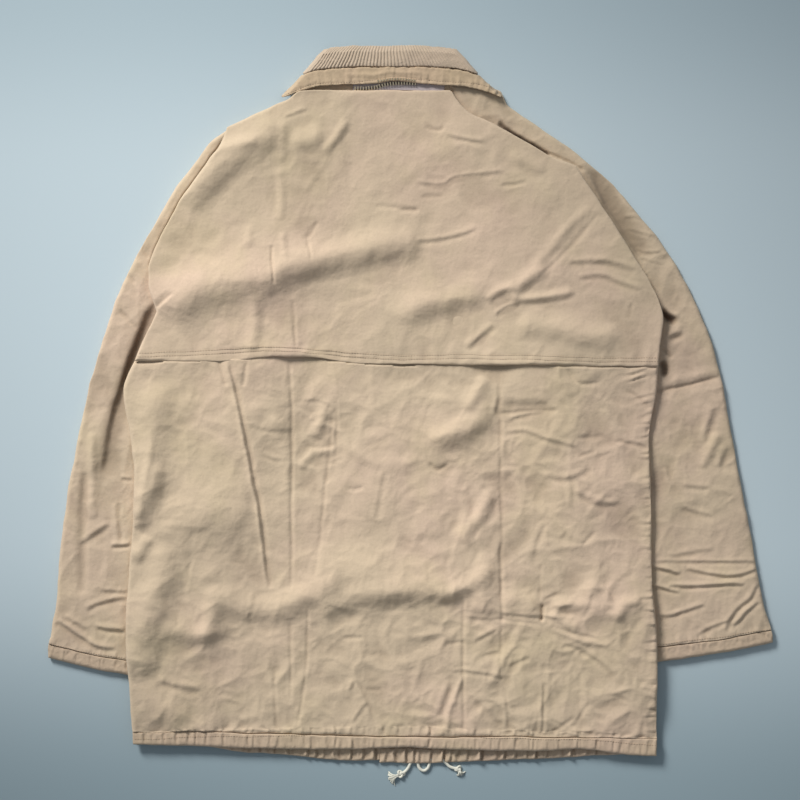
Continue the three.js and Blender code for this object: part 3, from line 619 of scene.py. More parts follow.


# Creases of each piece, by the pixels that they run through. Widths and heights are in millimetres.
# A ridge stands up and a valley lies low. A step is higher on the left of its way, and a drop is lower
# there. A fold has a sharp crest on its line and falls away over its width on the right, and a turned
# one does so on the left. A cliff drops sharply on the left of its way and rises again over its width.
# In a table of painted shades the height says how dark the painted shade on the line is. A shadow is painted
# shade that fades over its width on the left.

def C(kind, width, height, *points):
    return Crease(kind, width, height, points)


FLAP_CREASES = [
    C("fold", 40, 6.6, (170, 330), (181, 305), (196, 291), (214, 286), (234, 284), (258, 284), (278, 281)),
    C("cliff", 10, 3.6, (156, 315), (160, 311), (168, 303), (180, 294)),
    C(
        "fold", 27, 5.4, (252, 290), (270, 284), (281, 275), (290, 268), (319, 262), (359, 252),
        (394, 244), (428, 247),
    ),
    C("fold", 26, 4.2, (188, 214), (207, 184), (229, 162), (254, 145), (272, 131), (282, 114)),
    C("turned", 8, 0.8, (285, 122), (284, 145), (284, 166)),
    C("fold", 16, 2.2, (290, 146), (310, 143), (328, 132)),
    C("ridge", 8, 2.0, (207, 160), (224, 150), (262, 143)),
    C("step", 3, 0.9, (285, 120), (310, 113)),
    C("fold", 8, 1.7, (322, 156), (336, 141), (350, 121)),
    C("ridge", 5, 0.5, (303, 195), (328, 160)),
    C("valley", 3, 0.9, (306, 242), (320, 222)),
    C("valley", 3, 1.0, (424, 128), (440, 135), (444, 127)),
    C("step", 3.5, 1.3, (445, 138), (485, 145)),
    C("step", 3.5, 1.2, (415, 184), (445, 187), (452, 180), (465, 177), (505, 174)),
    C("valley", 3, 0.8, (420, 198), (445, 196)),
    C("valley", 3.5, 0.9, (375, 207), (420, 212)),
    C("valley", 3, 0.6, (395, 213), (420, 210)),
    C("valley", 3, 0.9, (499, 188), (527, 184)),
    C("step", 4, 1.3, (415, 243), (445, 241), (478, 229)),
    C("step", 9, 1.8, (505, 160), (545, 178)),
    C("fold", 9, 1.2, (529, 271), (545, 255), (572, 224), (590, 206)),
    C("valley", 3, 0.6, (537, 279), (553, 265), (583, 232), (598, 214)),
    C("fold", 12, 3.0, (505, 304), (516, 289), (530, 276), (549, 269)),
    C("fold", 8, 2.2, (484, 303), (495, 292), (516, 287)),
    C("fold", 8, 2.4, (507, 301), (530, 300), (566, 295), (573, 289)),
    C("step", 3.5, 1.6, (494, 317), (505, 308), (520, 306)),
    C("step", 5, 2.0, (465, 350), (480, 338), (495, 325)),
    C("fold", 22, 3.2, (396, 330), (410, 310), (440, 303), (470, 297), (488, 286)),
    C("step", 5, 1.6, (565, 264), (600, 262), (635, 272)),
    C("step", 4, 1.4, (575, 280), (600, 276), (620, 285), (640, 292)),
    C("valley", 3, 0.9, (631, 303), (625, 320)),
    C("fold", 20, 3.2, (512, 324), (530, 326), (560, 330), (590, 338), (622, 337)),
    C("turned", 8, 1.0, (281, 168), (283, 190), (282, 224)),
    C("turned", 7, 1.0, (283, 232), (287, 262)),
    C("valley", 2.2, 1.4, (273, 246), (276, 287)),
    C("turned", 8, 0.9, (250, 226), (251, 252)),
    C("valley", 2.4, 0.9, (308, 240), (312, 262)),
    C("turned", 12, 1.7, (256, 292), (257, 320), (255, 357)),
    C("valley", 2.4, 1.0, (293, 300), (297, 353)),
]

BACK_CREASES = [
    C("drop", 3.5, 2.6, (229, 360), (233, 375), (246, 430), (254, 480), (259, 500), (264, 540), (269, 589)),
    C(
        "valley", 1.8, 1.6, (230, 364), (234, 378), (246, 430), (254, 480), (259, 500), (264, 540),
        (268, 580),
    ),
    C("valley", 3, 1.2, (220, 360), (228, 388)),
    C("valley", 3, 1.2, (247, 360), (247, 372), (244, 388)),
    C("valley", 2.6, 1.3, (291, 357), (293, 470), (292, 590)),
    C("valley", 2.4, 1.0, (291, 620), (292, 700)),
    C("valley", 2.2, 0.9, (308, 605), (308, 660), (300, 720), (295, 735)),
    C("valley", 2.4, 0.8, (275, 665), (278, 745)),
    C("valley", 2.4, 0.8, (337, 396), (337, 459)),
    C("valley", 2.6, 0.8, (335, 400), (327, 480), (315, 580)),
    C("valley", 2.4, 1.1, (463, 598), (463, 735)),
    C("valley", 2.6, 0.9, (498, 370), (502, 520), (500, 560)),
    C("valley", 2.8, 1.5, (500, 540), (502, 622)),
    C("valley", 2.4, 0.8, (501, 615), (500, 680)),
    C("valley", 2.4, 0.5, (541, 560), (539, 590), (541, 620)),
    C("drop", 2.6, 1.6, (543, 680), (541, 735)),
    C("step", 7, 1.6, (498, 402), (552, 402)),
    C("drop", 3.5, 1.6, (497, 396), (494, 417)),
    C("valley", 2.8, 1.3, (495, 415), (510, 412), (559, 410)),
    C("step", 3, 1.3, (507, 421), (520, 415), (545, 412)),
    C("fold", 22, 4.4, (426, 448), (440, 436), (462, 432), (478, 420), (497, 412)),
    C("turned", 12, 2.6, (488, 372), (478, 392), (462, 412)),
    C("valley", 3, 1.2, (566, 368), (575, 385), (600, 383)),
    C("valley", 3, 1.1, (624, 390), (640, 400), (648, 410)),
    C("valley", 4, 1.8, (645, 425), (650, 435)),
    C("step", 3.5, 1.4, (505, 432), (525, 430), (545, 440), (578, 447)),
    C("valley", 3, 0.9, (573, 437), (605, 437)),
    C("valley", 3, 1.1, (612, 441), (647, 447)),
    C("valley", 3, 0.8, (575, 457), (595, 450)),
    C("step", 5, 1.5, (540, 475), (570, 480), (590, 465)),
    C("valley", 3, 1.2, (428, 462), (438, 472), (450, 462)),
    C("fold", 12, 3.0, (463, 548), (466, 532), (482, 512), (492, 488)),
    C("turned", 22, 3.4, (482, 546), (483, 585), (481, 622)),
    C("fold", 20, 3.0, (496, 598), (520, 602), (544, 601)),
    C("valley", 2.6, 3.0, (542, 602), (543, 611), (540, 622)),
    C("valley", 2.4, 0.6, (494, 617), (520, 621), (540, 623)),
    C("fold", 26, 2.4, (570, 604), (592, 604), (616, 610)),
    C("ridge", 5, 2.0, (545, 622), (565, 634), (590, 642), (610, 643)),
    C("fold", 12, 3.2, (548, 606), (570, 603), (588, 606)),
    C("fold", 9, 2.4, (545, 614), (562, 618), (580, 630)),
    C("fold", 14, 3.0, (432, 596), (460, 590), (480, 574), (497, 566)),
    C("step", 5, 1.8, (570, 490), (590, 500), (610, 505), (620, 500)),
    C("drop", 5, 1.4, (545, 520), (535, 540), (533, 560)),
    C("valley", 3, 0.9, (580, 545), (595, 530)),
    C("valley", 3, 1.1, (541, 600), (560, 592)),
    C("step", 3, 0.8, (463, 615), (480, 619), (498, 616)),
    C("step", 3, 1.2, (500, 612), (575, 618)),
    C("step", 3, 1.0, (545, 608), (575, 603)),
    C("drop", 3, 1.0, (590, 590), (586, 610)),
    C("drop", 3, 1.1, (600, 580), (612, 600)),
    C("fold", 11, 3.4, (612, 622), (618, 606), (628, 600), (642, 600)),
    C("fold", 14, 2.6, (585, 600), (590, 586), (600, 578)),
    C("step", 3.5, 1.1, (545, 622), (575, 632), (600, 637)),
    C("step", 4, 1.5, (560, 642), (575, 645), (600, 662), (615, 675)),
    C("valley", 3, 1.0, (445, 643), (465, 641)),
    C("step", 3.5, 1.2, (472, 642), (497, 627)),
    C("valley", 3, 1.0, (480, 655), (500, 652)),
    C("step", 3.5, 1.3, (450, 670), (463, 670), (485, 672), (505, 676)),
    C("ridge", 4, 1.8, (463, 675), (455, 690), (446, 720), (447, 735)),
    C("drop", 6, 2.0, (452, 678), (443, 700), (437, 718)),
    C("step", 3.5, 1.2, (505, 665), (530, 655)),
    C("step", 5, 1.4, (465, 690), (505, 725)),
    C("valley", 3, 1.0, (550, 732), (575, 715)),
    C("valley", 3, 1.0, (570, 728), (590, 700)),
    C("drop", 3, 1.0, (505, 695), (507, 730)),
    C("turned", 30, 4.2, (158, 378), (157, 420), (154, 460), (146, 496), (133, 530)),
    C("fold", 14, 2.6, (139, 532), (146, 508), (157, 484), (162, 460)),
    C("fold", 13, 3.0, (133, 562), (143, 549), (151, 530)),
    C("ridge", 6, 1.6, (155, 440), (140, 520)),
    C(
        "turned", 30, 5.2, (172, 534), (167, 560), (161, 590), (153, 615), (145, 636), (143, 658),
        (150, 682),
    ),
    C("fold", 40, 3.4, (160, 556), (170, 534), (190, 518), (222, 512), (262, 516)),
    C("turned", 18, 3.6, (216, 580), (214, 604), (211, 622), (204, 644)),
    C("fold", 17, 2.9, (160, 622), (188, 634), (206, 636), (232, 622)),
    C("fold", 26, 2.6, (128, 704), (160, 709), (198, 710)),
    C("step", 3.5, 0.6, (250, 425), (270, 431), (295, 430)),
    C("step", 3.5, 0.6, (262, 452), (276, 460), (290, 459)),
    C("fold", 12, 1.6, (266, 418), (280, 424), (292, 424)),
    C("step", 3, 0.7, (302, 402), (318, 399), (335, 408)),
    C("turned", 9, 1.6, (325, 398), (322, 420), (316, 440)),
    C("fold", 9, 1.8, (299, 470), (312, 452), (328, 450), (336, 456)),
    C("valley", 3, 0.7, (305, 445), (322, 448), (337, 444)),
    C("fold", 10, 1.3, (340, 442), (362, 456), (384, 468)),
    C("fold", 14, 1.2, (378, 462), (404, 466), (424, 458)),
    C("drop", 4, 0.8, (385, 470), (375, 520)),
    C("valley", 3, 0.7, (345, 490), (365, 487)),
    C("step", 6, 2.4, (158, 678), (170, 684), (205, 688)),
    C("valley", 3, 1.0, (247, 613), (255, 615)),
    C(
        "fold", 24, 4.4, (214, 590), (232, 598), (250, 608), (272, 610), (290, 604), (306, 594),
        (330, 584), (350, 582),
    ),
    C("fold", 22, 4.8, (312, 614), (332, 602), (352, 595), (380, 592), (410, 590), (440, 588), (468, 592)),
    C("ridge", 22, 2.4, (290, 560), (370, 570), (450, 565)),
    C("valley", 3, 1.0, (340, 637), (365, 637)),
    C("drop", 3, 1.1, (355, 678), (350, 690)),
    C("drop", 3, 1.1, (355, 678), (368, 700), (372, 720)),
    C("step", 3, 1.1, (352, 722), (368, 700)),
    C("valley", 3, 0.9, (365, 688), (385, 688)),
]

LEFT_SLEEVE_CREASES = [
    C("ridge", 7, 2.4, (95, 430), (93, 480), (96, 520)),
    C("valley", 6, 2.0, (86, 470), (83, 540), (84, 595)),
    C("valley", 3, 1.1, (140, 240), (150, 260)),
    C("valley", 3, 1.1, (125, 270), (137, 285)),
    C("valley", 3, 1.2, (120, 310), (140, 330)),
    C("step", 3, 1.4, (120, 478), (135, 479)),
    C("step", 5, 2.0, (80, 545), (112, 522)),
    C("step", 3.5, 2.4, (110, 546), (133, 544)),
    C("drop", 4, 1.4, (118, 500), (120, 545)),
    C("step", 3.5, 1.3, (100, 590), (130, 592)),
    C("step", 4, 1.8, (88, 612), (97, 603), (130, 597)),
    C("step", 4, 2.6, (95, 626), (128, 630)),
    C("step", 4, 2.6, (56, 620), (64, 623), (97, 647), (118, 648)),
    C("step", 4, 1.6, (64, 615), (90, 630)),
]

RIGHT_SLEEVE_CREASES = [
    C("step", 2.6, 0.7, (622, 219), (636, 217), (646, 222)),
    C("step", 2.6, 0.6, (625, 229), (655, 238)),
    C("step", 2.6, 0.9, (634, 249), (648, 254), (662, 252)),
    C("step", 2.6, 0.5, (637, 258), (664, 266)),
    C("step", 6, 2.8, (652, 314), (680, 320)),
    C("step", 5, 2.4, (664, 338), (684, 332)),
    C("valley", 4, 1.8, (658, 347), (672, 360)),
    C("step", 7, 1.6, (650, 388), (690, 382), (722, 373)),
    C("drop", 6, 2.0, (715, 405), (702, 445)),
    C("drop", 6, 1.8, (727, 445), (717, 470)),
    C("ridge", 7, 2.2, (718, 430), (700, 470)),
    C("drop", 4, 1.1, (665, 465), (670, 485)),
    C("step", 4, 1.2, (680, 485), (710, 487)),
    C("step", 4, 1.2, (680, 507), (715, 517)),
    C("step", 4, 1.1, (665, 557), (715, 548)),
    C("step", 3, 1.3, (650, 561), (765, 561)),
    C("step", 3.2, 2.4, (646, 564), (660, 568), (680, 574)),
    C("step", 3.2, 2.3, (684, 568), (712, 574), (735, 576), (757, 568)),
    C("step", 3, 2.2, (646, 583), (660, 587), (680, 592)),
    C("step", 3.2, 2.4, (666, 585), (690, 586), (725, 583), (745, 584)),
    C("step", 4, 2.2, (724, 632), (727, 622), (735, 608), (750, 598), (757, 580)),
    C("step", 3.5, 1.8, (730, 626), (737, 622), (745, 610), (759, 600)),
    C("step", 3.5, 1.5, (695, 636), (705, 628), (728, 620)),
    C("step", 3.5, 1.8, (655, 615), (665, 617), (685, 610), (705, 603)),
]


# Puckers that a line of stitches draws into the cloth

def beside_line(points, pixels, reach):
    """For the points near a line: which they are, how far from it, and how far along it."""
    line = line_of(pixels)
    near = points_near(points, line, reach)
    spots = points[near]
    best = np.full(len(spots), np.inf)
    along = np.zeros(len(spots))
    start = 0
    for a, b in zip(line[:-1], line[1:]):
        length = np.linalg.norm(b - a)
        run = (b - a) / length
        offset = spots - a
        t = np.clip(offset @ run, 0, length)
        distance = np.linalg.norm(offset - t[:, None] * run, axis=1)
        closer = distance < best
        best[closer] = distance[closer]
        along[closer] = start + t[closer]
        start += length
    return near, best, along


def puckers(points, pixels, pitch, height, reach, seed):
    """Short uneven ridges that run out from a stitched line and fade."""
    out = np.zeros(len(points))
    near, distance, along = beside_line(points, pixels, 3 * reach)
    for i, d, s in zip(near, distance, along):
        slant = 0.35 * d * noise.noise((s / 0.06, seed, 0.5))
        wave = noise.noise(((s + slant) / pitch, d / (5 * reach), seed))
        out[i] = (wave + 0.25 * abs(wave)) * math.exp(-d / reach)
    return height * out


def moved_up(line, pixels):
    """The same line higher on the photograph."""
    return tuple((px, py - pixels) for px, py in line)


def gathers(points, pixels, pitch, height, reach, seed):
    """Uneven tucks across a gathered edge: narrow folds with a dark side, every few millimetres."""
    out = np.zeros(len(points))
    near, distance, along = beside_line(points, pixels, 3 * reach)
    total = float(along.max()) if len(along) else 0
    for number in range(int(total / pitch) + 1):
        a = noise.noise((number * 3.7, seed, 0.3))
        b = noise.noise((number * 5.1, seed, 8.2))
        c = noise.noise((number * 7.3, seed, 4.9))
        middle = (number + 0.5 + 0.9 * a) * pitch
        strength = 0.35 + 1.5 * abs(b)
        lean = 0.6 * c
        width = (1.5 + 2.2 * abs(c)) * MM
        across = (along - middle - lean * distance) / width
        tuck = np.where(across < 0, np.exp(-((0.6 * across) ** 2)), np.exp(-((1.6 * across) ** 2)))
        dip = -0.9 * np.exp(-(((across - 1.3) / 0.8) ** 2))
        out[near] += strength * (tuck + dip) * np.exp(-((distance / (reach * (0.6 + abs(a)))) ** 2))
    return height * out


FLAP_EDGE = (
    (137, 362), (176, 361), (219, 359), (247, 357), (265, 356), (291, 357), (330, 360),
    (368, 363), (400, 364.6), (465, 363), (500, 364), (534, 365), (568, 366.4), (655, 367.3),
)
HEM_SEAM = ((133, 735), (222, 732), (284, 731), (355, 730), (420, 730), (502, 734), (590, 735), (655, 741))
RIGHT_SIDE = ((622, 330), (648, 420), (655, 560), (654, 735))
LEFT_SIDE = ((150, 340), (140, 430), (132, 600), (131, 735))
HEM_JOIN = moved_up(HEM_SEAM, -3)
HEM_MIDDLE = moved_up(HEM_JOIN, -15)
FRONT_HEM_MIDDLE = moved_up(HEM_JOIN, -20)
LEFT_CUFF_SEAM = ((48, 643), (77.5, 651), (128, 659))
RIGHT_CUFF_SEAM = ((771, 629.5), (727.5, 636.5), (657, 645))

# How far rows of stitches are from the flap's edge, and the hem's and cuffs' from their seams, in pixels
FLAP_ROWS = (5, 8.6)
HEM_ROW = -2.6
CUFF_ROW = 1.5


def above_flap_edge(points):
    """How far points are above the flap's edge. Below it the number is negative."""
    edge = line_of(FLAP_EDGE)
    return points[:, 1] - np.interp(points[:, 0], edge[:, 0], edge[:, 1])


def flap_relief(points, depth):
    height = crease_height(FLAP_CREASES, points)
    height += crumple(points, 5, 44 * MM, 2.6 * MM) * wear(points)
    height += crumple(points, 4, 17 * MM, 0.9 * MM) * wear(points)
    height += billow(points, 2, 75 * MM, 2.2 * MM)
    height += puckers(points, moved_up(FLAP_EDGE, 7), 11 * MM, 1.0 * MM, 9 * MM, 8)
    built_edge = [(px, py + float(lifted_edge(px))) for px, py in FLAP_EDGE]
    for rise in FLAP_ROWS:
        height += crease_height([Crease("valley", 1.5, 0.32, moved_up(built_edge, rise))], points)
    return height


# Where the flap's edge stands open, and how the back lies under the rest of it
OPEN_AT_PLEAT = Span(292, 36)
OPEN_AT_RIGHT = Span(512, 40)
REST_HEIGHT = 1.9 * MM
REST_REACH = 14 * MM
REST_GAP = 1.2 * MM


def flap_rest(points):
    """Below most of the flap's edge the back stands as high as the flap, with a thin line between."""
    below = -above_flap_edge(points)
    px = pixel_x(points)
    open_here = hump(px, OPEN_AT_PLEAT) + hump(px, OPEN_AT_RIGHT)
    rest = np.where(below > REST_GAP, np.exp(-np.clip(below, 0, None) / REST_REACH), 0)
    return REST_HEIGHT * rest * np.clip(1 - open_here, 0, 1)


def back_relief(points, depth):
    height = crease_height(BACK_CREASES, points) + flap_rest(points)
    height += crumple(points, 11, 42 * MM, 3.4 * MM) * wear(points)
    height += crumple(points, 13, 17 * MM, 1.2 * MM) * wear(points)
    height += billow(points, 6, 75 * MM, 2.6 * MM)
    height += gathers(points, HEM_JOIN, 14 * MM, 1.5 * MM, 10 * MM, 21)
    height += puckers(points, HEM_SEAM, 10 * MM, 1.8 * MM, 14 * MM, 3)
    height += gathers(points, RIGHT_SIDE, 14 * MM, 1.6 * MM, 14 * MM, 51)
    height += puckers(points, RIGHT_SIDE, 14 * MM, 1.6 * MM, 12 * MM, 5)
    height += puckers(points, LEFT_SIDE, 14 * MM, 1.2 * MM, 10 * MM, 7)
    return height


HEM_LAP = C("cliff", 5, 2.2, (597, 731), (594, 741), (592, 752))


def hem_relief(points, depth):
    height = gathers(points, HEM_JOIN, 14 * MM, 1.2 * MM, 16 * MM, 21)
    height += gathers(points, HEM_MIDDLE, 11 * MM, 0.9 * MM, 9 * MM, 22)
    height += crease_height([HEM_LAP], points)
    height += billow(points, 8, 12 * MM, 1.0 * MM, (1.2, 0.7))
    return height


def front_hem_relief(points, depth):
    height = gathers(points, FRONT_HEM_MIDDLE, 11 * MM, 3.2 * MM, 30 * MM, 41)
    return height + billow(points, 12, 8 * MM, 1.0 * MM, (1.2, 0.5))


# Where the body's padded edge leaves a dark gap beside it, the sleeve lies low

LEFT_ARMPIT = ((158, 296), (150, 306), (143, 317), (137, 337), (127, 360), (119, 386))
LEFT_BODY_EDGE = LEFT_ARMPIT + ((110, 414), (104, 447))
LEFT_GAPS = [
    C("valley", 3.0, 3.4, (232, 132), (220, 150), (200, 177), (180, 206), (162, 240), (150, 268)),
    C("cliff", 30, 9.0, *LEFT_BODY_EDGE, (99, 480)),
]
# Painted shade on the left sleeve in the gap beside the body's edge
LEFT_SHADES = [
    C("shadow", 13, 0.3, *LEFT_ARMPIT),
    C("shadow", 36, 0.44, *LEFT_BODY_EDGE, (99, 484)),
]
RIGHT_SHOULDER_GAP = ((497, 126), (522, 141), (550, 158))
RIGHT_BODY_EDGE = ((578, 163), (590, 184), (600, 203), (612, 224), (626, 246), (642, 270))
UPPER_HOLE = ((658, 309), (666, 316), (676, 323))
LOWER_HOLE = ((658, 360), (663, 367), (663, 378))
RIGHT_GAPS = [
    C("valley", 3.4, 4.5, *RIGHT_SHOULDER_GAP),
    C("valley", 2.4, 1.6, (542, 152), (562, 160), (584, 172)),
    C("cliff", 30, 6.0, *RIGHT_BODY_EDGE),
    C("valley", 5, 5.5, *UPPER_HOLE),
    C("valley", 5.5, 5.0, *LOWER_HOLE),
    C("valley", 2.2, 1.4, (652, 391), (688, 386), (720, 376)),
]
# Painted shade on the right sleeve: beside the body's edge, along the shoulder's gap, in the two holes, and a
# painted shadow under the collar band's end
RIGHT_SHADES = [
    C("shadow", 30, 0.42, *RIGHT_BODY_EDGE),
    C("ridge", 4.5, 0.7, *RIGHT_SHOULDER_GAP),
    C("shadow", 75, 0.2, (654, 296), (657, 340), (657, 392)),
    C("shadow", 6, 0.6, (506, 108), (490, 97), (477, 92), (460, 89)),
    C("ridge", 6, 0.62, *UPPER_HOLE),
    C("ridge", 5, 0.4, *LOWER_HOLE),
]
# Painted shade: the most darkness painted in a gap beside the body and in a crease, and how deep a crease is
# for the most
DARKEST_GAP = 0.8
DARKEST_CREASE = 0.22
CREASE_SHADE_DEPTH = 9 * MM


def gap_shade(shades):
    """Painted shade in the hollows beside the body's edge, with the painted shade of the creases."""

    def shade(points, depth, relief):
        gaps = np.clip(crease_height(shades, points) / MM, 0, DARKEST_GAP)
        return gaps + crease_shade(points, depth, relief)

    return shade


def crease_shade(points, depth, relief):
    """Painted shade: creases are a little darker at the bottom, where shade falls."""
    return np.clip(-relief / CREASE_SHADE_DEPTH, 0, DARKEST_CREASE)


Sleeve = namedtuple("Sleeve", "creases seam facets padding_seed tuck_pitch tuck_seed pucker_seed")
Facets = namedtuple("Facets", "seed cell height")
LEFT_SLEEVE = Sleeve(
    LEFT_SLEEVE_CREASES + LEFT_GAPS, LEFT_CUFF_SEAM,
    (Facets(17, 36 * MM, 2.0 * MM), Facets(18, 15 * MM, 0.7 * MM)), 14, 11 * MM, 35, 31,
)
RIGHT_SLEEVE = Sleeve(
    RIGHT_SLEEVE_CREASES + RIGHT_GAPS, RIGHT_CUFF_SEAM,
    (Facets(23, 36 * MM, 2.2 * MM), Facets(25, 15 * MM, 0.8 * MM)), 24, 12 * MM, 37, 33,
)


def sleeve_relief(sleeve):
    """A sleeve's creases and crumple, with tucks at its cuff's seam."""

    def relief(points, depth):
        height = crease_height(sleeve.creases, points)
        for facets in sleeve.facets:
            height += crumple(points, facets.seed, facets.cell, facets.height)
        height += billow(points, sleeve.padding_seed, 70 * MM, 2.4 * MM)
        height += gathers(points, sleeve.seam, sleeve.tuck_pitch, 0.9 * MM, 8 * MM, sleeve.tuck_seed)
        height += puckers(points, sleeve.seam, 12 * MM, 1.4 * MM, 12 * MM, sleeve.pucker_seed)
        return height

    return relief


def cuff_relief(sleeve):
    """A cuff takes up the tucks of its sleeve."""

    def relief(points, depth):
        tucks = gathers(points, sleeve.seam, sleeve.tuck_pitch, 1.0 * MM, 12 * MM, sleeve.tuck_seed)
        return tucks + billow(points, 30, 9 * MM, 0.7 * MM)

    return relief


def front_relief(points, depth):
    """The fronts, which lie under the back."""
    return crumple(points, 41, 40 * MM, 0.6 * MM)


BACK_FINE_PX = 350
BACK_FINE_BELOW = place_of(0, BACK_FINE_PX)[1]
BACK_FINE_PITCH = 2.05 * MM
BACK_HIDDEN_PITCH = 7 * MM


def back_pitch(y):
    """The back is fine where it shows, below the flap."""
    return BACK_FINE_PITCH if y < BACK_FINE_BELOW else BACK_HIDDEN_PITCH


SEAM_SHARP = 6 * MM
SEAM_EASE = 5 * MM


def tight_at(line, radius):
    """The edge is round, except at a seam, where it closes on its neighbour."""

    def radius_at(points):
        near, distance, _ = beside_line(points, line, 2 * SEAM_SHARP)
        out = np.full(len(points), radius)
        share = np.clip((distance - SEAM_SHARP) / SEAM_EASE, 0, 1)
        out[near] = SEAM_RADIUS + (radius - SEAM_RADIUS) * share
        return out

    return radius_at


def even(pitch):
    """One pitch, in millimetres, all over a piece."""
    return lambda y: pitch * MM


LIFT_AT_PLEAT = Span(290, 42)
LIFT_AT_RIGHT = Span(512, 48)
LIFT_HEIGHT = 2.6 * MM
LIFT_REACH = 16 * MM


def flap_lift(points):
    """The free edge stands off the back where the photograph shows a shadow under it."""
    px = pixel_x(points)
    swell = hump(px, LIFT_AT_PLEAT) + 0.9 * hump(px, LIFT_AT_RIGHT)
    return LIFT_HEIGHT * swell * np.exp(-np.clip(above_flap_edge(points), 0, None) / LIFT_REACH)


HEM_SLIDE = 5.4 * MM
HEM_REACH = 13 * MM


def hem_slide(points):
    """The back meets its hem a little above the pattern's line."""
    near, distance, _ = beside_line(points, HEM_JOIN, HEM_REACH)
    part = np.clip(1 - distance / HEM_REACH, 0, 1)
    out = np.zeros_like(points)
    out[near, 1] = HEM_SLIDE * eased(part)
    return out


PLEAT_ARCH = Span(290, 70)
PLEAT_ARCH_RISE_PX = 4.6


def lifted_edge(px):
    """How far the flap's edge arches up over the pleat, in pixels of the photograph."""
    part = np.clip(1 - np.abs(np.asarray(px, float) - PLEAT_ARCH.pixel) / PLEAT_ARCH.softness, 0, 1)
    return PLEAT_ARCH_RISE_PX * part**1.5 * (3 - 2 * part**1.5)


def flap_slide(points):
    """The flap's edge arches up over the pleat."""
    fade = np.exp(-np.clip(above_flap_edge(points), 0, None) / LIFT_REACH)
    rise = lifted_edge(pixel_x(points)) * PIXEL * fade
    return np.column_stack([np.zeros(len(points)), rise])


UNDERLAP = Span(350, 28)
UNDERLAP_REACH = 4 * MM


def front_hem_slide(points):
    """The left front hem reaches under the right one."""
    part = np.clip((pixel_x(points) - UNDERLAP.pixel) / UNDERLAP.softness, 0, 1)
    reach = UNDERLAP_REACH * part**2
    return np.column_stack([reach, np.zeros(len(points))])


def together(*moves):
    """Several moves as one."""
    return lambda points: sum(move(points) for move in moves)


Shoulder = namedtuple("Shoulder", "from_px to_px edge_px rise slide")
LEFT_SHOULDER = Shoulder(293, 334, 97, 5 * MM, 0)
NECK = Shoulder(293, 452, 97, 4.6 * MM, 0)
RIGHT_SHOULDER = Shoulder(438, 504, 98, 15 * MM, -14 * MM)
SHOULDER_REACH = 22 * MM
# How softly the rise starts on its left and ends on its right, and where its slide fades, in pixels
RISE_STARTS = 14
RISE_ENDS = 8
SLIDE_FROM = 18
SLIDE_FADES = 14


def shoulder_rise(shoulder):
    """The sleeve's top runs up under the collar's end, to the neck seam."""
    low, high, edge_px, rise, slide = shoulder

    def shift(points):
        px = pixel_x(points)
        edge = place_of(0, edge_px)[1]
        across = eased(np.clip(np.minimum((px - low) / RISE_STARTS, (high - px) / RISE_ENDS) + 0.5, 0, 1))
        down = np.exp(-np.clip(edge - points[:, 1], 0, None) / SHOULDER_REACH)
        end = np.exp(-((np.clip(px - low - SLIDE_FROM, 0, None) / SLIDE_FADES) ** 2))
        return np.column_stack([slide * end * down, rise * across * down])

    return shift


back = cloth(
    "back_cloth", "back_panel", back_pitch, back_relief, tight_at(HEM_JOIN, 4 * MM),
    shift=together(shoulder_rise(NECK), hem_slide),
)
flap = cloth(
    "flap_cloth", "storm_flap", even(1.75), flap_relief, 2 * MM, lift=flap_lift,
    shift=together(shoulder_rise(NECK), flap_slide),
)
hem = cloth(
    "back_hem_cloth", "back_hem", even(1.1), hem_relief, tight_at(HEM_JOIN, 4 * MM), blur=9 * MM,
    outline_pitch=1.5 * MM, shift=hem_slide,
)
front_hem_left = cloth(
    "front_hem_left_cloth", "front_hem_left", even(1.6), front_hem_relief, 2.5 * MM, blur=9 * MM,
    shift=front_hem_slide,
)
front_hem_right = cloth(
    "front_hem_right_cloth", "front_hem_right", even(1.6), front_hem_relief, 2.5 * MM, blur=9 * MM
)
front_left = cloth("front_left_cloth", "front_left", even(8), front_relief, 3 * MM)
front_right = cloth("front_right_cloth", "front_right", even(8), front_relief, 3 * MM)
sleeve_left = cloth(
    "sleeve_left_cloth", "sleeve_left", even(1.7), sleeve_relief(LEFT_SLEEVE),
    tight_at(LEFT_CUFF_SEAM, 5 * MM), shade=gap_shade(LEFT_SHADES), shift=shoulder_rise(LEFT_SHOULDER),
)
sleeve_right = cloth(
    "sleeve_right_cloth", "sleeve_right", even(1.7), sleeve_relief(RIGHT_SLEEVE),
    tight_at(RIGHT_CUFF_SEAM, 5 * MM), shade=gap_shade(RIGHT_SHADES), shift=shoulder_rise(RIGHT_SHOULDER),
)
cuff_left = cloth(
    "cuff_left_cloth", "cuff_left", even(1.2), cuff_relief(LEFT_SLEEVE), tight_at(LEFT_CUFF_SEAM, 5 * MM),
    blur=9 * MM,
)
cuff_right = cloth(
    "cuff_right_cloth", "cuff_right", even(1.2), cuff_relief(RIGHT_SLEEVE),
    tight_at(RIGHT_CUFF_SEAM, 5 * MM), blur=9 * MM,
)


# Collar

CollarLevel = namedtuple("CollarLevel", "left right middle_y end_y")
RIB_LEVELS = (
    CollarLevel(-102.6, 54.6, 429.9, 425.5),
    CollarLevel(-112.2, 63.0, 422.1, 416.5),
    CollarLevel(-127.8, 81.0, 403.7, 395.1),
)
RIB_COUNT = 45
RIB_END = 6
RIB_HEIGHT = 0.6 * MM
COLLAR_BACK_LAYER = 7 * MM
RIB_SEAM_WIDTH = 4 * MM
RIB_SEAM_SINK = 0.5 * MM
RIB_SEAM_RISE = 0.4 * MM


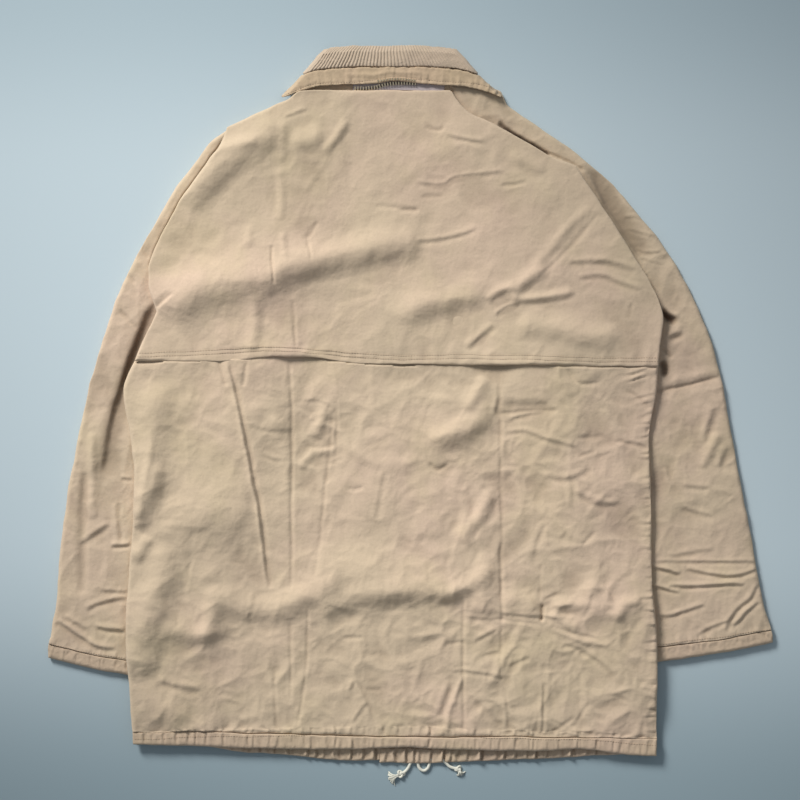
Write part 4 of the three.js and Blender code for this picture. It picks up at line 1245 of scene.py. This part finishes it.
def across_ribs(points):
    """How far each point of the rib knit is from its left end, in ribs."""
    x, y = points[:, 0] / MM, points[:, 1] / MM
    heights, parts = [], []
    for level in RIB_LEVELS:
        half = (level.right - level.left) / 2
        across = np.clip(np.abs(x - (level.left + level.right) / 2) / half, 0, 1)
        heights.append(level.middle_y + (level.end_y - level.middle_y) * across**4)
        start, end = level.left + RIB_END, level.right - RIB_END
        parts.append((x - start) / (end - start))
    low = np.clip((heights[0] - y) / (heights[0] - heights[1]), 0, 1)
    high = np.clip((heights[1] - y) / (heights[1] - heights[2]), 0, 1)
    above_leg = parts[0] * (1 - low) + parts[1] * low
    return RIB_COUNT * np.where(high > 0, parts[1] * (1 - high) + parts[2] * high, above_leg)


def remeshed(name, node, voxel, settle, relief, shift=None):
    """A node's form in small even faces, settled, with relief along its normals."""
    piece = linked(name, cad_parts[node].data.copy())
    fine = piece.modifiers.new("even faces", "REMESH")
    fine.mode = "VOXEL"
    fine.voxel_size = voxel
    soft = piece.modifiers.new("settle", "SMOOTH")
    soft.iterations = settle
    made = bpy.data.meshes.new_from_object(piece.evaluated_get(bpy.context.evaluated_depsgraph_get()))
    piece.modifiers.clear()
    piece.data = made
    count = len(made.vertices)
    points, normals = np.empty(count * 3), np.empty(count * 3)
    made.vertices.foreach_get("co", points)
    made.vertices.foreach_get("normal", normals)
    points, normals = points.reshape(-1, 3), normals.reshape(-1, 3)
    points += normals * relief(points, normals)[:, None]
    if shift:
        points[:, :2] += shift(points)
    points[:, :2] = wander(points[:, :2])
    points[:, 2] = np.maximum(points[:, 2], 0)
    made.vertices.foreach_set("co", points.reshape(-1))
    made.materials.clear()
    made.shade_smooth()
    made.update()
    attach(piece, "root")
    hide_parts(node)
    return piece


def rib_relief(points, normals):
    """Ribs of uneven height that flatten at the seam."""
    ribs = 0.5 - 0.5 * np.cos(2 * math.pi * across_ribs(points[:, :2]))
    uneven = 1 + 0.6 * billow(points[:, :2], 51, 25 * MM, 1.0)
    upper = points[:, 2] > COLLAR_BACK_LAYER
    sag = billow(points[:, :2], 52, 40 * MM, 1.1 * MM) * upper
    tucked = near_rib_seam(points) * upper * (normals[:, 2] > 0)
    return RIB_HEIGHT * ribs**0.7 * uneven * (1 - 0.6 * tucked) + sag - RIB_SEAM_SINK * tucked


def near_rib_seam(points):
    """How near points are to the seam of knit and band, as a share."""
    near, distance, _ = beside_line(points[:, :2], RIB_SEAM, 14 * MM)
    out = np.zeros(len(points))
    out[near] = np.exp(-((distance / RIB_SEAM_WIDTH) ** 2))
    return out


BAND_EDGE = (
    (283, 101), (290, 98), (308, 90.5), (328, 89), (353, 88), (376, 85), (399, 84), (416, 85),
    (430, 86), (461, 88), (477, 89), (490, 93), (500, 101),
)
BAND_STITCHES = moved_up(BAND_EDGE, 3.6)
RIB_SEAM = (
    (311, 75.5), (328, 73.5), (345, 71), (366, 69.5), (410, 69), (430, 69.5), (453, 71.5), (476, 77),
)
BAND_CREASE = C("fold", 5, 0.8, (342, 79), (356, 76), (372, 78), (388, 74), (402, 76), (418, 75), (432, 78))


def band_relief(points, normals):
    """The band is gathered at its stitches and drawn in at the knit's seam."""
    plan = points[:, :2]
    upper = (points[:, 2] > COLLAR_BACK_LAYER) & (normals[:, 2] > 0)
    height = puckers(plan, BAND_STITCHES, 7 * MM, 1.3 * MM, 11 * MM, 61)
    height += puckers(plan, RIB_SEAM, 6 * MM, 1.2 * MM, 5 * MM, 62)
    height += gathers(plan, BAND_STITCHES, 9 * MM, 0.4 * MM, 9 * MM, 64)
    height += crease_height([BAND_CREASE], plan)
    height += RIB_SEAM_RISE * near_rib_seam(points)
    height += crease_height([Crease("valley", 1.5, 0.4, BAND_STITCHES)], plan)
    height += billow(plan, 63, 16 * MM, 0.7 * MM)
    return np.where(upper, height, 0)


BAND_ARCH = Span(398, 19)
BAND_ARCH_EDGE_PX = 87
BAND_ARCH_RISE = 3.6 * MM
BAND_ARCH_REACH = 7 * MM


def band_arch(points):
    """The free edge is drawn up where the teeth of the hood's zip show."""
    edge = place_of(0, BAND_ARCH_EDGE_PX)[1]
    near_edge = np.exp(-np.clip(points[:, 1] - edge, 0, None) / BAND_ARCH_REACH)
    rise = BAND_ARCH_RISE * hump(pixel_x(points), BAND_ARCH) * near_edge
    rise = rise * (points[:, 2] > COLLAR_BACK_LAYER)
    return np.column_stack([np.zeros(len(points)), rise])


def no_relief(points, normals):
    """The stand, which the collar hides."""
    return np.zeros(len(points))


rib = remeshed("collar_rib_knit", "collar_rib", 0.8 * MM, 2, rib_relief)
band = remeshed("collar_band_cloth", "collar_band", 0.85 * MM, 3, band_relief, band_arch)
stand = remeshed("collar_stand_cloth", "collar_stand", 1.5 * MM, 3, no_relief)


# Zips

# A block's levels from bottom to top, as shares of its half height, with how wide it is at each
BLOCK_LEVELS = ((-1, 0.75), (-0.5, 1), (0.5, 1), (1, 0.7))


def boxes_mesh(name, boxes):
    """One mesh of small bevelled blocks, each by its middle, half sizes and heading."""
    points, faces = [], []
    for middle, half, heading in boxes:
        base = len(points)
        cos, sin = math.cos(heading), math.sin(heading)
        for level, inset in BLOCK_LEVELS:
            for sx, sy in ((-1, -1), (1, -1), (1, 1), (-1, 1)):
                dx, dy = sx * half[0] * inset, sy * half[1] * inset
                x = middle[0] + dx * cos - dy * sin
                y = middle[1] + dx * sin + dy * cos
                points.append((x, y, middle[2] + level * half[2]))
        faces.append([base + i for i in (3, 2, 1, 0)])
        faces.append([base + 12 + i for i in range(4)])
        for ring in range(3):
            for i in range(4):
                a, b = base + 4 * ring + i, base + 4 * ring + (i + 1) % 4
                faces.append([a, b, b + 4, a + 4])
    mesh = bpy.data.meshes.new(name)
    mesh.from_pydata(points, [], faces)
    piece = linked(name, mesh)
    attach(piece, "root")
    return piece


def even_steps(pixels, pitch):
    """Places and headings at an even pitch along a line of pixels."""
    line = line_of(pixels)
    lengths = np.concatenate([[0], np.cumsum(np.linalg.norm(np.diff(line, axis=0), axis=1))])
    at = np.arange(pitch / 2, lengths[-1], pitch)

    def spots(way):
        return np.stack([np.interp(way, lengths, line[:, k]) for k in range(2)], axis=1)

    run = spots(at + pitch / 4) - spots(at - pitch / 4)
    return spots(at), np.arctan2(run[:, 1], run[:, 0])


TOOTH_PITCH = 3.3 * MM
HOOD_TEETH = ((354, 90.3), (366, 90.2), (377, 89.2), (384, 86.6), (392, 85.4), (404, 84.8), (416, 85.2))
HOOD_TEETH_BACKS = ((377, 83.2), (388, 81.6), (400, 81.0), (415, 82.6))
HOOD_TEETH_Z = 12.2 * MM
HOOD_BACKS_Z = HOOD_TEETH_Z + 2.2 * MM
TOOTH_HALF = (0.85 * MM, 2.2 * MM, 0.9 * MM)
BACK_HALF = (1.1 * MM, 1.1 * MM, 0.7 * MM)
# Painted shade on the hood zip's tape along its teeth: how dark, and how far it reaches
TEETH_SHADE = 0.75
TEETH_SHADE_REACH = 1.5 * MM


def zip_teeth(name, pixels, height, half):
    """A row of teeth at one height along a line of pixels."""
    spots, headings = even_steps(pixels, TOOTH_PITCH)
    return boxes_mesh(name, [((x, y, height), half, h) for (x, y), h in zip(spots, headings)])


def teeth_shade(points, depth, relief):
    """Painted shade: the tape is darkened along the teeth, where shade falls between and under them."""
    near, distance, _ = beside_line(points, HOOD_TEETH, 6 * MM)
    out = np.zeros(len(points))
    out[near] = TEETH_SHADE * np.exp(-((distance / TEETH_SHADE_REACH) ** 4))
    return out


hood_tape = cloth(
    "hood_zip_tape", "hood_zip", even(0.8), flat_relief, 0.6 * MM, blur=6 * MM, least_thickness=0.6 * MM,
    shade=teeth_shade,
)
hood_teeth = zip_teeth("hood_zip_teeth", HOOD_TEETH, HOOD_TEETH_Z, TOOTH_HALF)
hood_backs = zip_teeth("hood_zip_teeth_backs", HOOD_TEETH_BACKS, HOOD_BACKS_Z, BACK_HALF)
front_tape = cloth(
    "front_zip_tape", "front_zip", even(8), flat_relief, 0.6 * MM, blur=6 * MM, least_thickness=0.6 * MM
)


# Stitches

STITCH_PITCH = 3.1 * MM
STITCH_HALF = 1.15 * MM
STITCH_RADIUS = 0.36 * MM
STITCH_SIDES = 6
STITCH_SINK = 0.1 * MM
# Places along a stitch, with how thick it is there and how far it rises, in radii
STITCH_LEVELS = ((0, 0.45, -0.25), (0.25, 1, 0.1), (0.75, 1, 0.1), (1, 0.45, -0.25))


def surface_tree(pieces):
    """A tree of the pieces' final faces, for finding their height under a stitch."""
    points, faces = [], []
    for piece in pieces:
        base = len(points)
        points += [tuple(v.co) for v in piece.data.vertices]
        faces += [[base + i for i in p.vertices] for p in piece.data.polygons]
    return BVHTree.FromPolygons(points, faces)


def stitches(name, tree, lines):
    """Rows of thread, each stitch a short rounded length lying on the cloth."""
    points, faces = [], []
    for line in lines:
        spots, headings = even_steps(line, STITCH_PITCH)
        for (x, y), heading in zip(wander(spots), headings):
            ends = []
            for side in (-1, 1):
                ex = x + side * STITCH_HALF * math.cos(heading)
                ey = y + side * STITCH_HALF * math.sin(heading)
                hit = tree.ray_cast((ex, ey, 1), (0, 0, -1))[0]
                ends.append(hit)
            if None in ends:
                continue
            add_capsule(points, faces, ends)
    mesh = bpy.data.meshes.new(name)
    mesh.from_pydata(points, [], faces)
    mesh.shade_smooth()
    piece = linked(name, mesh)
    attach(piece, "root")
    return piece


def add_capsule(points, faces, ends):
    """One stitch between its two ends."""
    base = len(points)
    run = ends[1] - ends[0]
    side = Vector((-run.y, run.x, 0)).normalized()
    up = Vector((0, 0, 1))
    for part, size, rise in STITCH_LEVELS:
        middle = ends[0] + run * part + up * (STITCH_RADIUS * (0.6 + rise) - STITCH_SINK)
        for k in range(STITCH_SIDES):
            angle = 2 * math.pi * k / STITCH_SIDES
            offset = side * math.cos(angle) + up * math.sin(angle)
            points.append(tuple(middle + offset * STITCH_RADIUS * size))
    for ring in range(3):
        for k in range(STITCH_SIDES):
            a = base + STITCH_SIDES * ring + k
            b = base + STITCH_SIDES * ring + (k + 1) % STITCH_SIDES
            faces.append([a, b, b + STITCH_SIDES, a + STITCH_SIDES])
    faces.append([base + k for k in reversed(range(STITCH_SIDES))])
    faces.append([base + 3 * STITCH_SIDES + k for k in range(STITCH_SIDES)])


flap_rows = [moved_up(FLAP_EDGE, row) for row in FLAP_ROWS]
flap_stitches = stitches("flap_stitches", surface_tree([flap]), flap_rows)
hem_stitches = stitches("hem_stitches", surface_tree([hem]), [moved_up(HEM_SEAM, HEM_ROW)])
cuff_stitches = stitches(
    "cuff_stitches",
    surface_tree([sleeve_left, sleeve_right, cuff_left, cuff_right]),
    [moved_up(LEFT_CUFF_SEAM, CUFF_ROW), moved_up(RIGHT_CUFF_SEAM, CUFF_ROW)],
)
band_stitches = stitches("band_stitches", surface_tree([band]), [BAND_STITCHES])


# Drawcord

CORD_RADIUS = 1.8 * MM
CORD_STRAND_HALF = 1.1 * MM
FIBRE_RADIUS = 0.42 * MM
FIBRE_STEPS = 4
KNOT_STEPS = 48


def round_strand(name, resolution):
    """An empty round curve. Each of its points states its own radius."""
    curve = bpy.data.curves.new(name, "CURVE")
    curve.dimensions = "3D"
    curve.bevel_depth = 1
    curve.bevel_resolution = resolution
    return curve


def cord_curve(name, places):
    """A smooth round cord through its places, which are in millimetres."""
    curve = round_strand(name, 4)
    curve.resolution_u = 6
    curve.use_fill_caps = True
    spline = curve.splines.new("POLY")
    line = rounded_line(np.array(places) * MM)
    spline.points.add(len(line) - 1)
    for point, (x, y, z) in zip(spline.points, line):
        point.co = (x, y, z, 1)
        point.radius = CORD_RADIUS
    piece = linked(name, curve)
    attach(piece, "root")
    return piece, line


def knot_curve(name, middle, size, radius, turn):
    """A pulled knot: one closed strand that crosses itself three times."""
    curve = round_strand(name, 3)
    spline = curve.splines.new("POLY")
    spline.points.add(KNOT_STEPS - 1)
    spline.use_cyclic_u = True
    for k, point in enumerate(spline.points):
        t = 2 * math.pi * k / KNOT_STEPS
        u = (math.sin(t) + 2 * math.sin(2 * t)) / 3 * size[0]
        v = (math.cos(t) - 2 * math.cos(2 * t)) / 3 * size[1]
        x = middle[0] + u * math.cos(turn) - v * math.sin(turn)
        y = middle[1] + u * math.sin(turn) + v * math.cos(turn)
        z = radius + size[2] * (1 - math.sin(3 * t))
        point.co = (x, y, z, 1)
        point.radius = radius
    piece = linked(name, curve)
    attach(piece, "root")
    return piece


def frayed_end(name, start, heading, length, count, spread):
    """Loose fibres at the cut end of the cord, fanned out on the floor."""
    curve = round_strand(name, 1)
    for k in range(count):
        share = k / (count - 1) - 0.5
        curl = noise.noise((k * 1.7, 3.1, 0.4))
        spline = curve.splines.new("POLY")
        spline.points.add(FIBRE_STEPS)
        for j, point in enumerate(spline.points):
            part = j / FIBRE_STEPS
            angle = heading + share * spread * part + 0.7 * curl * part
            reach = length * part * (0.8 + 0.3 * abs(curl))
            side = CORD_STRAND_HALF * share * 2
            x = start[0] + reach * math.cos(angle) - side * math.sin(heading)
            y = start[1] + reach * math.sin(angle) + side * math.cos(heading)
            z = 0.5 * MM + (2.4 + 1.6 * math.sin(k * 2.3)) * MM * math.sin(math.pi * (0.25 + 0.7 * part))
            point.co = (x, y, z, 1)
            point.radius = FIBRE_RADIUS
    piece = linked(name, curve)
    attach(piece, "root")
    return piece


# The cord's routes, from inside the hem channel and back to it or on to a knot
LEFT_ROUTE = (
    (6.0, -420.0, 2.0), (2.2, -425.2, 1.9), (-0.6, -430.7, 1.85), (-2.6, -435.5, 1.85), (-6.6, -440.1, 1.9),
    (-10.4, -442.0, 2.6), (-14.5, -443.6, 2.2),
)
LOOP_ROUTE = (
    (4.0, -421.0, 2.0), (7.4, -426.0, 1.9), (9.0, -430.8, 1.85), (10.4, -435.9, 1.85), (15.6, -439.5, 1.85),
    (21.0, -436.3, 1.85), (22.8, -430.5, 1.85), (24.0, -424.0, 2.0),
)
RIGHT_ROUTE = (
    (31.0, -420.5, 2.0), (37.5, -425.0, 1.9), (43.8, -430.7, 1.85), (46.8, -434.1, 1.85), (52.4, -435.7, 1.9),
    (56.5, -436.8, 2.4), (60.0, -438.4, 2.2),
)

cord_left, left_line = cord_curve("drawcord_left_braid", LEFT_ROUTE)
cord_loop, loop_line = cord_curve("drawcord_loop_braid", LOOP_ROUTE)
cord_right, right_line = cord_curve("drawcord_right_braid", RIGHT_ROUTE)
knot_left = knot_curve(
    "knot_left_cord", (-11.4 * MM, -442.6 * MM), (4.4 * MM, 3.8 * MM, 1.0 * MM), 1.4 * MM, -0.4
)
knot_right = knot_curve(
    "knot_right_cord", (57.2 * MM, -436.6 * MM), (3.9 * MM, 3.4 * MM, 0.8 * MM), 1.3 * MM, 0.5
)
tip_left = frayed_end("frayed_end_left", (-15.0 * MM, -444.2 * MM), math.radians(-160), 13 * MM, 60, 1.1)
tip_right = frayed_end("frayed_end_right", (58.5 * MM, -438.6 * MM), math.radians(-70), 7 * MM, 34, 1.3)
for piece, node in (
    (cord_left, "drawcord_left"),
    (cord_loop, "drawcord_loop"),
    (cord_right, "drawcord_right"),
    (knot_left, "knot_left"),
    (knot_right, "knot_right"),
):
    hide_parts(node)


# Materials

# Painted shade: the colour of full painted shade in creases, gaps and between zip teeth, as a share of the
# cloth's colour
SHADE_TINT = (0.16, 0.12, 0.10)
COTTON_ROUGHNESS = 0.93
BRASS_ROUGHNESS = 0.38
PAPER_ROUGHNESS = 0.9

# How often each pattern of the cloth repeats in a metre
BLOTCHES = 5
MOTTLES = 9
THREADS = 420
WRINKLES = 55
CRINKLES = 210
TARNISH = 700


def new_material(name, roughness):
    """A plain material, with its nodes, links, shader and the object's own coordinates."""
    material = bpy.data.materials.new(name)
    material.use_nodes = True
    nodes, links = material.node_tree.nodes, material.node_tree.links
    shader = nodes["Principled BSDF"]
    shader.inputs["Roughness"].default_value = roughness
    place = nodes.new("ShaderNodeTexCoord")
    return material, nodes, links, shader, place.outputs["Object"]


def cloth_material(name, colour, warm, cool, wrinkle=1.0):
    """Matt cotton: slow blotches, faint mottling, a fine weave and small wrinkles, with painted shade where
    the piece's shade attribute says.
    """
    material, nodes, links, shader, place = new_material(name, COTTON_ROUGHNESS)
    shader.inputs["Specular IOR Level"].default_value = 0.18
    shader.inputs["Sheen Weight"].default_value = 0.12
    shader.inputs["Sheen Roughness"].default_value = 0.6

    def noise_at(scale, detail, rough=0.55):
        node = nodes.new("ShaderNodeTexNoise")
        node.inputs["Scale"].default_value = scale
        node.inputs["Detail"].default_value = detail
        node.inputs["Roughness"].default_value = rough
        links.new(place, node.inputs["Vector"])
        return node.outputs["Fac"]

    def ramp(value, low, high):
        node = nodes.new("ShaderNodeMapRange")
        node.inputs["From Min"].default_value = low
        node.inputs["From Max"].default_value = high
        links.new(value, node.inputs["Value"])
        return node.outputs["Result"]

    def mix(factor, first, second, share=1.0):
        node = nodes.new("ShaderNodeMix")
        node.data_type = "RGBA"
        scaled = nodes.new("ShaderNodeMath")
        scaled.operation = "MULTIPLY"
        scaled.inputs[1].default_value = share
        links.new(factor, scaled.inputs[0])
        links.new(scaled.outputs[0], node.inputs[0])
        for socket, value in ((node.inputs[6], first), (node.inputs[7], second)):
            if isinstance(value, tuple):
                socket.default_value = (*value, 1)
            else:
                links.new(value, socket)
        return node.outputs[2]

    tone = mix(ramp(noise_at(BLOTCHES, 3), 0.42, 0.62), colour, warm, 0.6)
    tone = mix(ramp(noise_at(MOTTLES, 4), 0.5, 0.68), tone, cool, 0.5)
    dark = tuple(0.78 * c for c in colour)
    tone = mix(ramp(noise_at(THREADS, 3), 0.45, 0.75), tone, dark, 0.3)
    # Painted shade: the cloth darkens towards its shaded colour as far as its shade attribute says
    painted_shade = nodes.new("ShaderNodeAttribute")
    painted_shade.attribute_name = "shade"
    tone = mix(painted_shade.outputs["Fac"], tone, tuple(c * k for c, k in zip(colour, SHADE_TINT)))
    links.new(tone, shader.inputs["Base Color"])

    def bump(height, distance, strength, normal=None):
        node = nodes.new("ShaderNodeBump")
        node.inputs["Distance"].default_value = distance
        node.inputs["Strength"].default_value = strength
        links.new(height, node.inputs["Height"])
        if normal is not None:
            links.new(normal, node.inputs["Normal"])
        return node.outputs["Normal"]

    normal = bump(noise_at(WRINKLES, 5, 0.6), 2.0 * MM, 0.55 * wrinkle)
    normal = bump(noise_at(CRINKLES, 4, 0.6), 0.6 * MM, 0.5 * wrinkle, normal)
    waves = nodes.new("ShaderNodeTexWave")
    waves.inputs["Scale"].default_value = THREADS
    waves.inputs["Distortion"].default_value = 3
    waves.inputs["Detail"].default_value = 2
    links.new(place, waves.inputs["Vector"])
    normal = bump(waves.outputs["Fac"], 0.12 * MM, 0.35, normal)
    links.new(normal, shader.inputs["Normal"])
    return material


def linear(r, g, b):
    """An sRGB colour from 0 to 255 as the linear numbers that a shader takes."""
    return tuple(((c / 255 + 0.055) / 1.055) ** 2.4 for c in (r, g, b))


shell = cloth_material("shell", linear(202, 182, 156), linear(210, 183, 163), linear(198, 181, 148))
band_shell = cloth_material("band_shell", linear(188, 166, 138), linear(194, 166, 144), linear(184, 164, 130))
shell_hem = cloth_material("shell_hem", linear(195, 174, 149), linear(200, 174, 155), linear(190, 172, 142))
for piece in (back, flap, front_left, front_right, sleeve_left, sleeve_right):
    piece.data.materials.append(shell)
for piece in (hem, front_hem_left, front_hem_right, cuff_left, cuff_right):
    piece.data.materials.append(shell_hem)
rib_knit = cloth_material("rib_knit", linear(192, 173, 152), linear(196, 174, 156), linear(188, 171, 146))
zip_tape = cloth_material(
    "zip_tape", linear(186, 177, 180), linear(188, 176, 178), linear(182, 177, 182), 0.3
)
thread = cloth_material("thread", linear(178, 158, 136), linear(182, 158, 138), linear(176, 158, 130), 0.2)


def metal_material(name, colour):
    """Dull light brass with faint tarnish."""
    material, nodes, links, shader, place = new_material(name, BRASS_ROUGHNESS)
    shader.inputs["Metallic"].default_value = 1
    tarnish = nodes.new("ShaderNodeTexNoise")
    tarnish.inputs["Scale"].default_value = TARNISH
    links.new(place, tarnish.inputs["Vector"])
    mix = nodes.new("ShaderNodeMix")
    mix.data_type = "RGBA"
    mix.inputs[6].default_value = (*colour, 1)
    mix.inputs[7].default_value = (*(0.6 * c for c in colour), 1)
    links.new(tarnish.outputs["Fac"], mix.inputs[0])
    links.new(mix.outputs[2], shader.inputs["Base Color"])
    return material


cotton = cloth_material("cord", linear(222, 221, 208), linear(226, 220, 204), linear(214, 216, 204), 0.4)
for piece in (cord_left, cord_loop, cord_right, knot_left, knot_right, tip_left, tip_right):
    piece.data.materials.append(cotton)

brass = metal_material("zip_metal", linear(240, 226, 196))
for piece, material, slot in (
    (rib, rib_knit, "rib_knit"),
    (band, band_shell, "shell"),
    (stand, shell, "shell"),
    (hood_tape, zip_tape, "zip_tape"),
    (front_tape, zip_tape, "zip_tape"),
    (hood_teeth, brass, "zip_metal"),
    (hood_backs, brass, "zip_metal"),
    (flap_stitches, thread, "thread"),
    (hem_stitches, thread, "thread"),
    (cuff_stitches, thread, "thread"),
    (band_stitches, thread, "thread"),
):
    piece.data.materials.append(material)


# The outline of each piece of cloth, as far as it shows, found again and not used

def cut_of(node, slide=np.zeros_like):
    """A panel that lies open: its outline from above, moved by a slide; nothing is kept or returned."""
    loop = top_sheet_outline(node)
    loop = loop + slide(loop)


cut_of("back_panel")
cut_of("storm_flap")
cut_of("back_hem", hem_slide)
for piece, node in (
    (front_left, "front_left"),
    (front_right, "front_right"),
    (front_hem_left, "front_hem_left"),
    (front_hem_right, "front_hem_right"),
    (sleeve_left, "sleeve_left"),
    (sleeve_right, "sleeve_right"),
    (cuff_left, "cuff_left"),
):
    cut_of(node)
cut_of("cuff_right")


# Floor

FLOOR_REACH = 4.0
FLOOR_TONE = linear(194, 209, 216)
# Painted shade of the light falling off: where each darker tone starts and is full, along Y in metres
FLOOR_PAINTED_FALLOFF = ((-0.15, -0.5, linear(142, 160, 168)), (0.27, 0.52, linear(176, 193, 201)))


def add_floor():
    """A pale sheet of paper, with painted shade that darkens it towards its two long edges, where the light
    falls off.
    """
    material, nodes, links, shader, place = new_material("floor", PAPER_ROUGHNESS)
    shader.inputs["Specular IOR Level"].default_value = 0.2
    split = nodes.new("ShaderNodeSeparateXYZ")
    links.new(place, split.inputs[0])
    tone = FLOOR_TONE
    for start, end, painted_falloff_tone in FLOOR_PAINTED_FALLOFF:
        edge = nodes.new("ShaderNodeMapRange")
        edge.interpolation_type = "SMOOTHSTEP"
        edge.inputs["From Min"].default_value = start
        edge.inputs["From Max"].default_value = end
        links.new(split.outputs["Y"], edge.inputs["Value"])
        mix = nodes.new("ShaderNodeMix")
        mix.data_type = "RGBA"
        links.new(edge.outputs["Result"], mix.inputs[0])
        if isinstance(tone, tuple):
            mix.inputs[6].default_value = (*tone, 1)
        else:
            links.new(tone, mix.inputs[6])
        mix.inputs[7].default_value = (*painted_falloff_tone, 1)
        tone = mix.outputs[2]
    links.new(tone, shader.inputs["Base Color"])
    mesh = bpy.data.meshes.new("floor")
    corners = [(FLOOR_REACH * sx, FLOOR_REACH * sy, 0) for sx, sy in ((-1, -1), (1, -1), (1, 1), (-1, 1))]
    mesh.from_pydata(corners, [], [(0, 1, 2, 3)])
    mesh.materials.append(material)
    linked("floor", mesh)


add_floor()
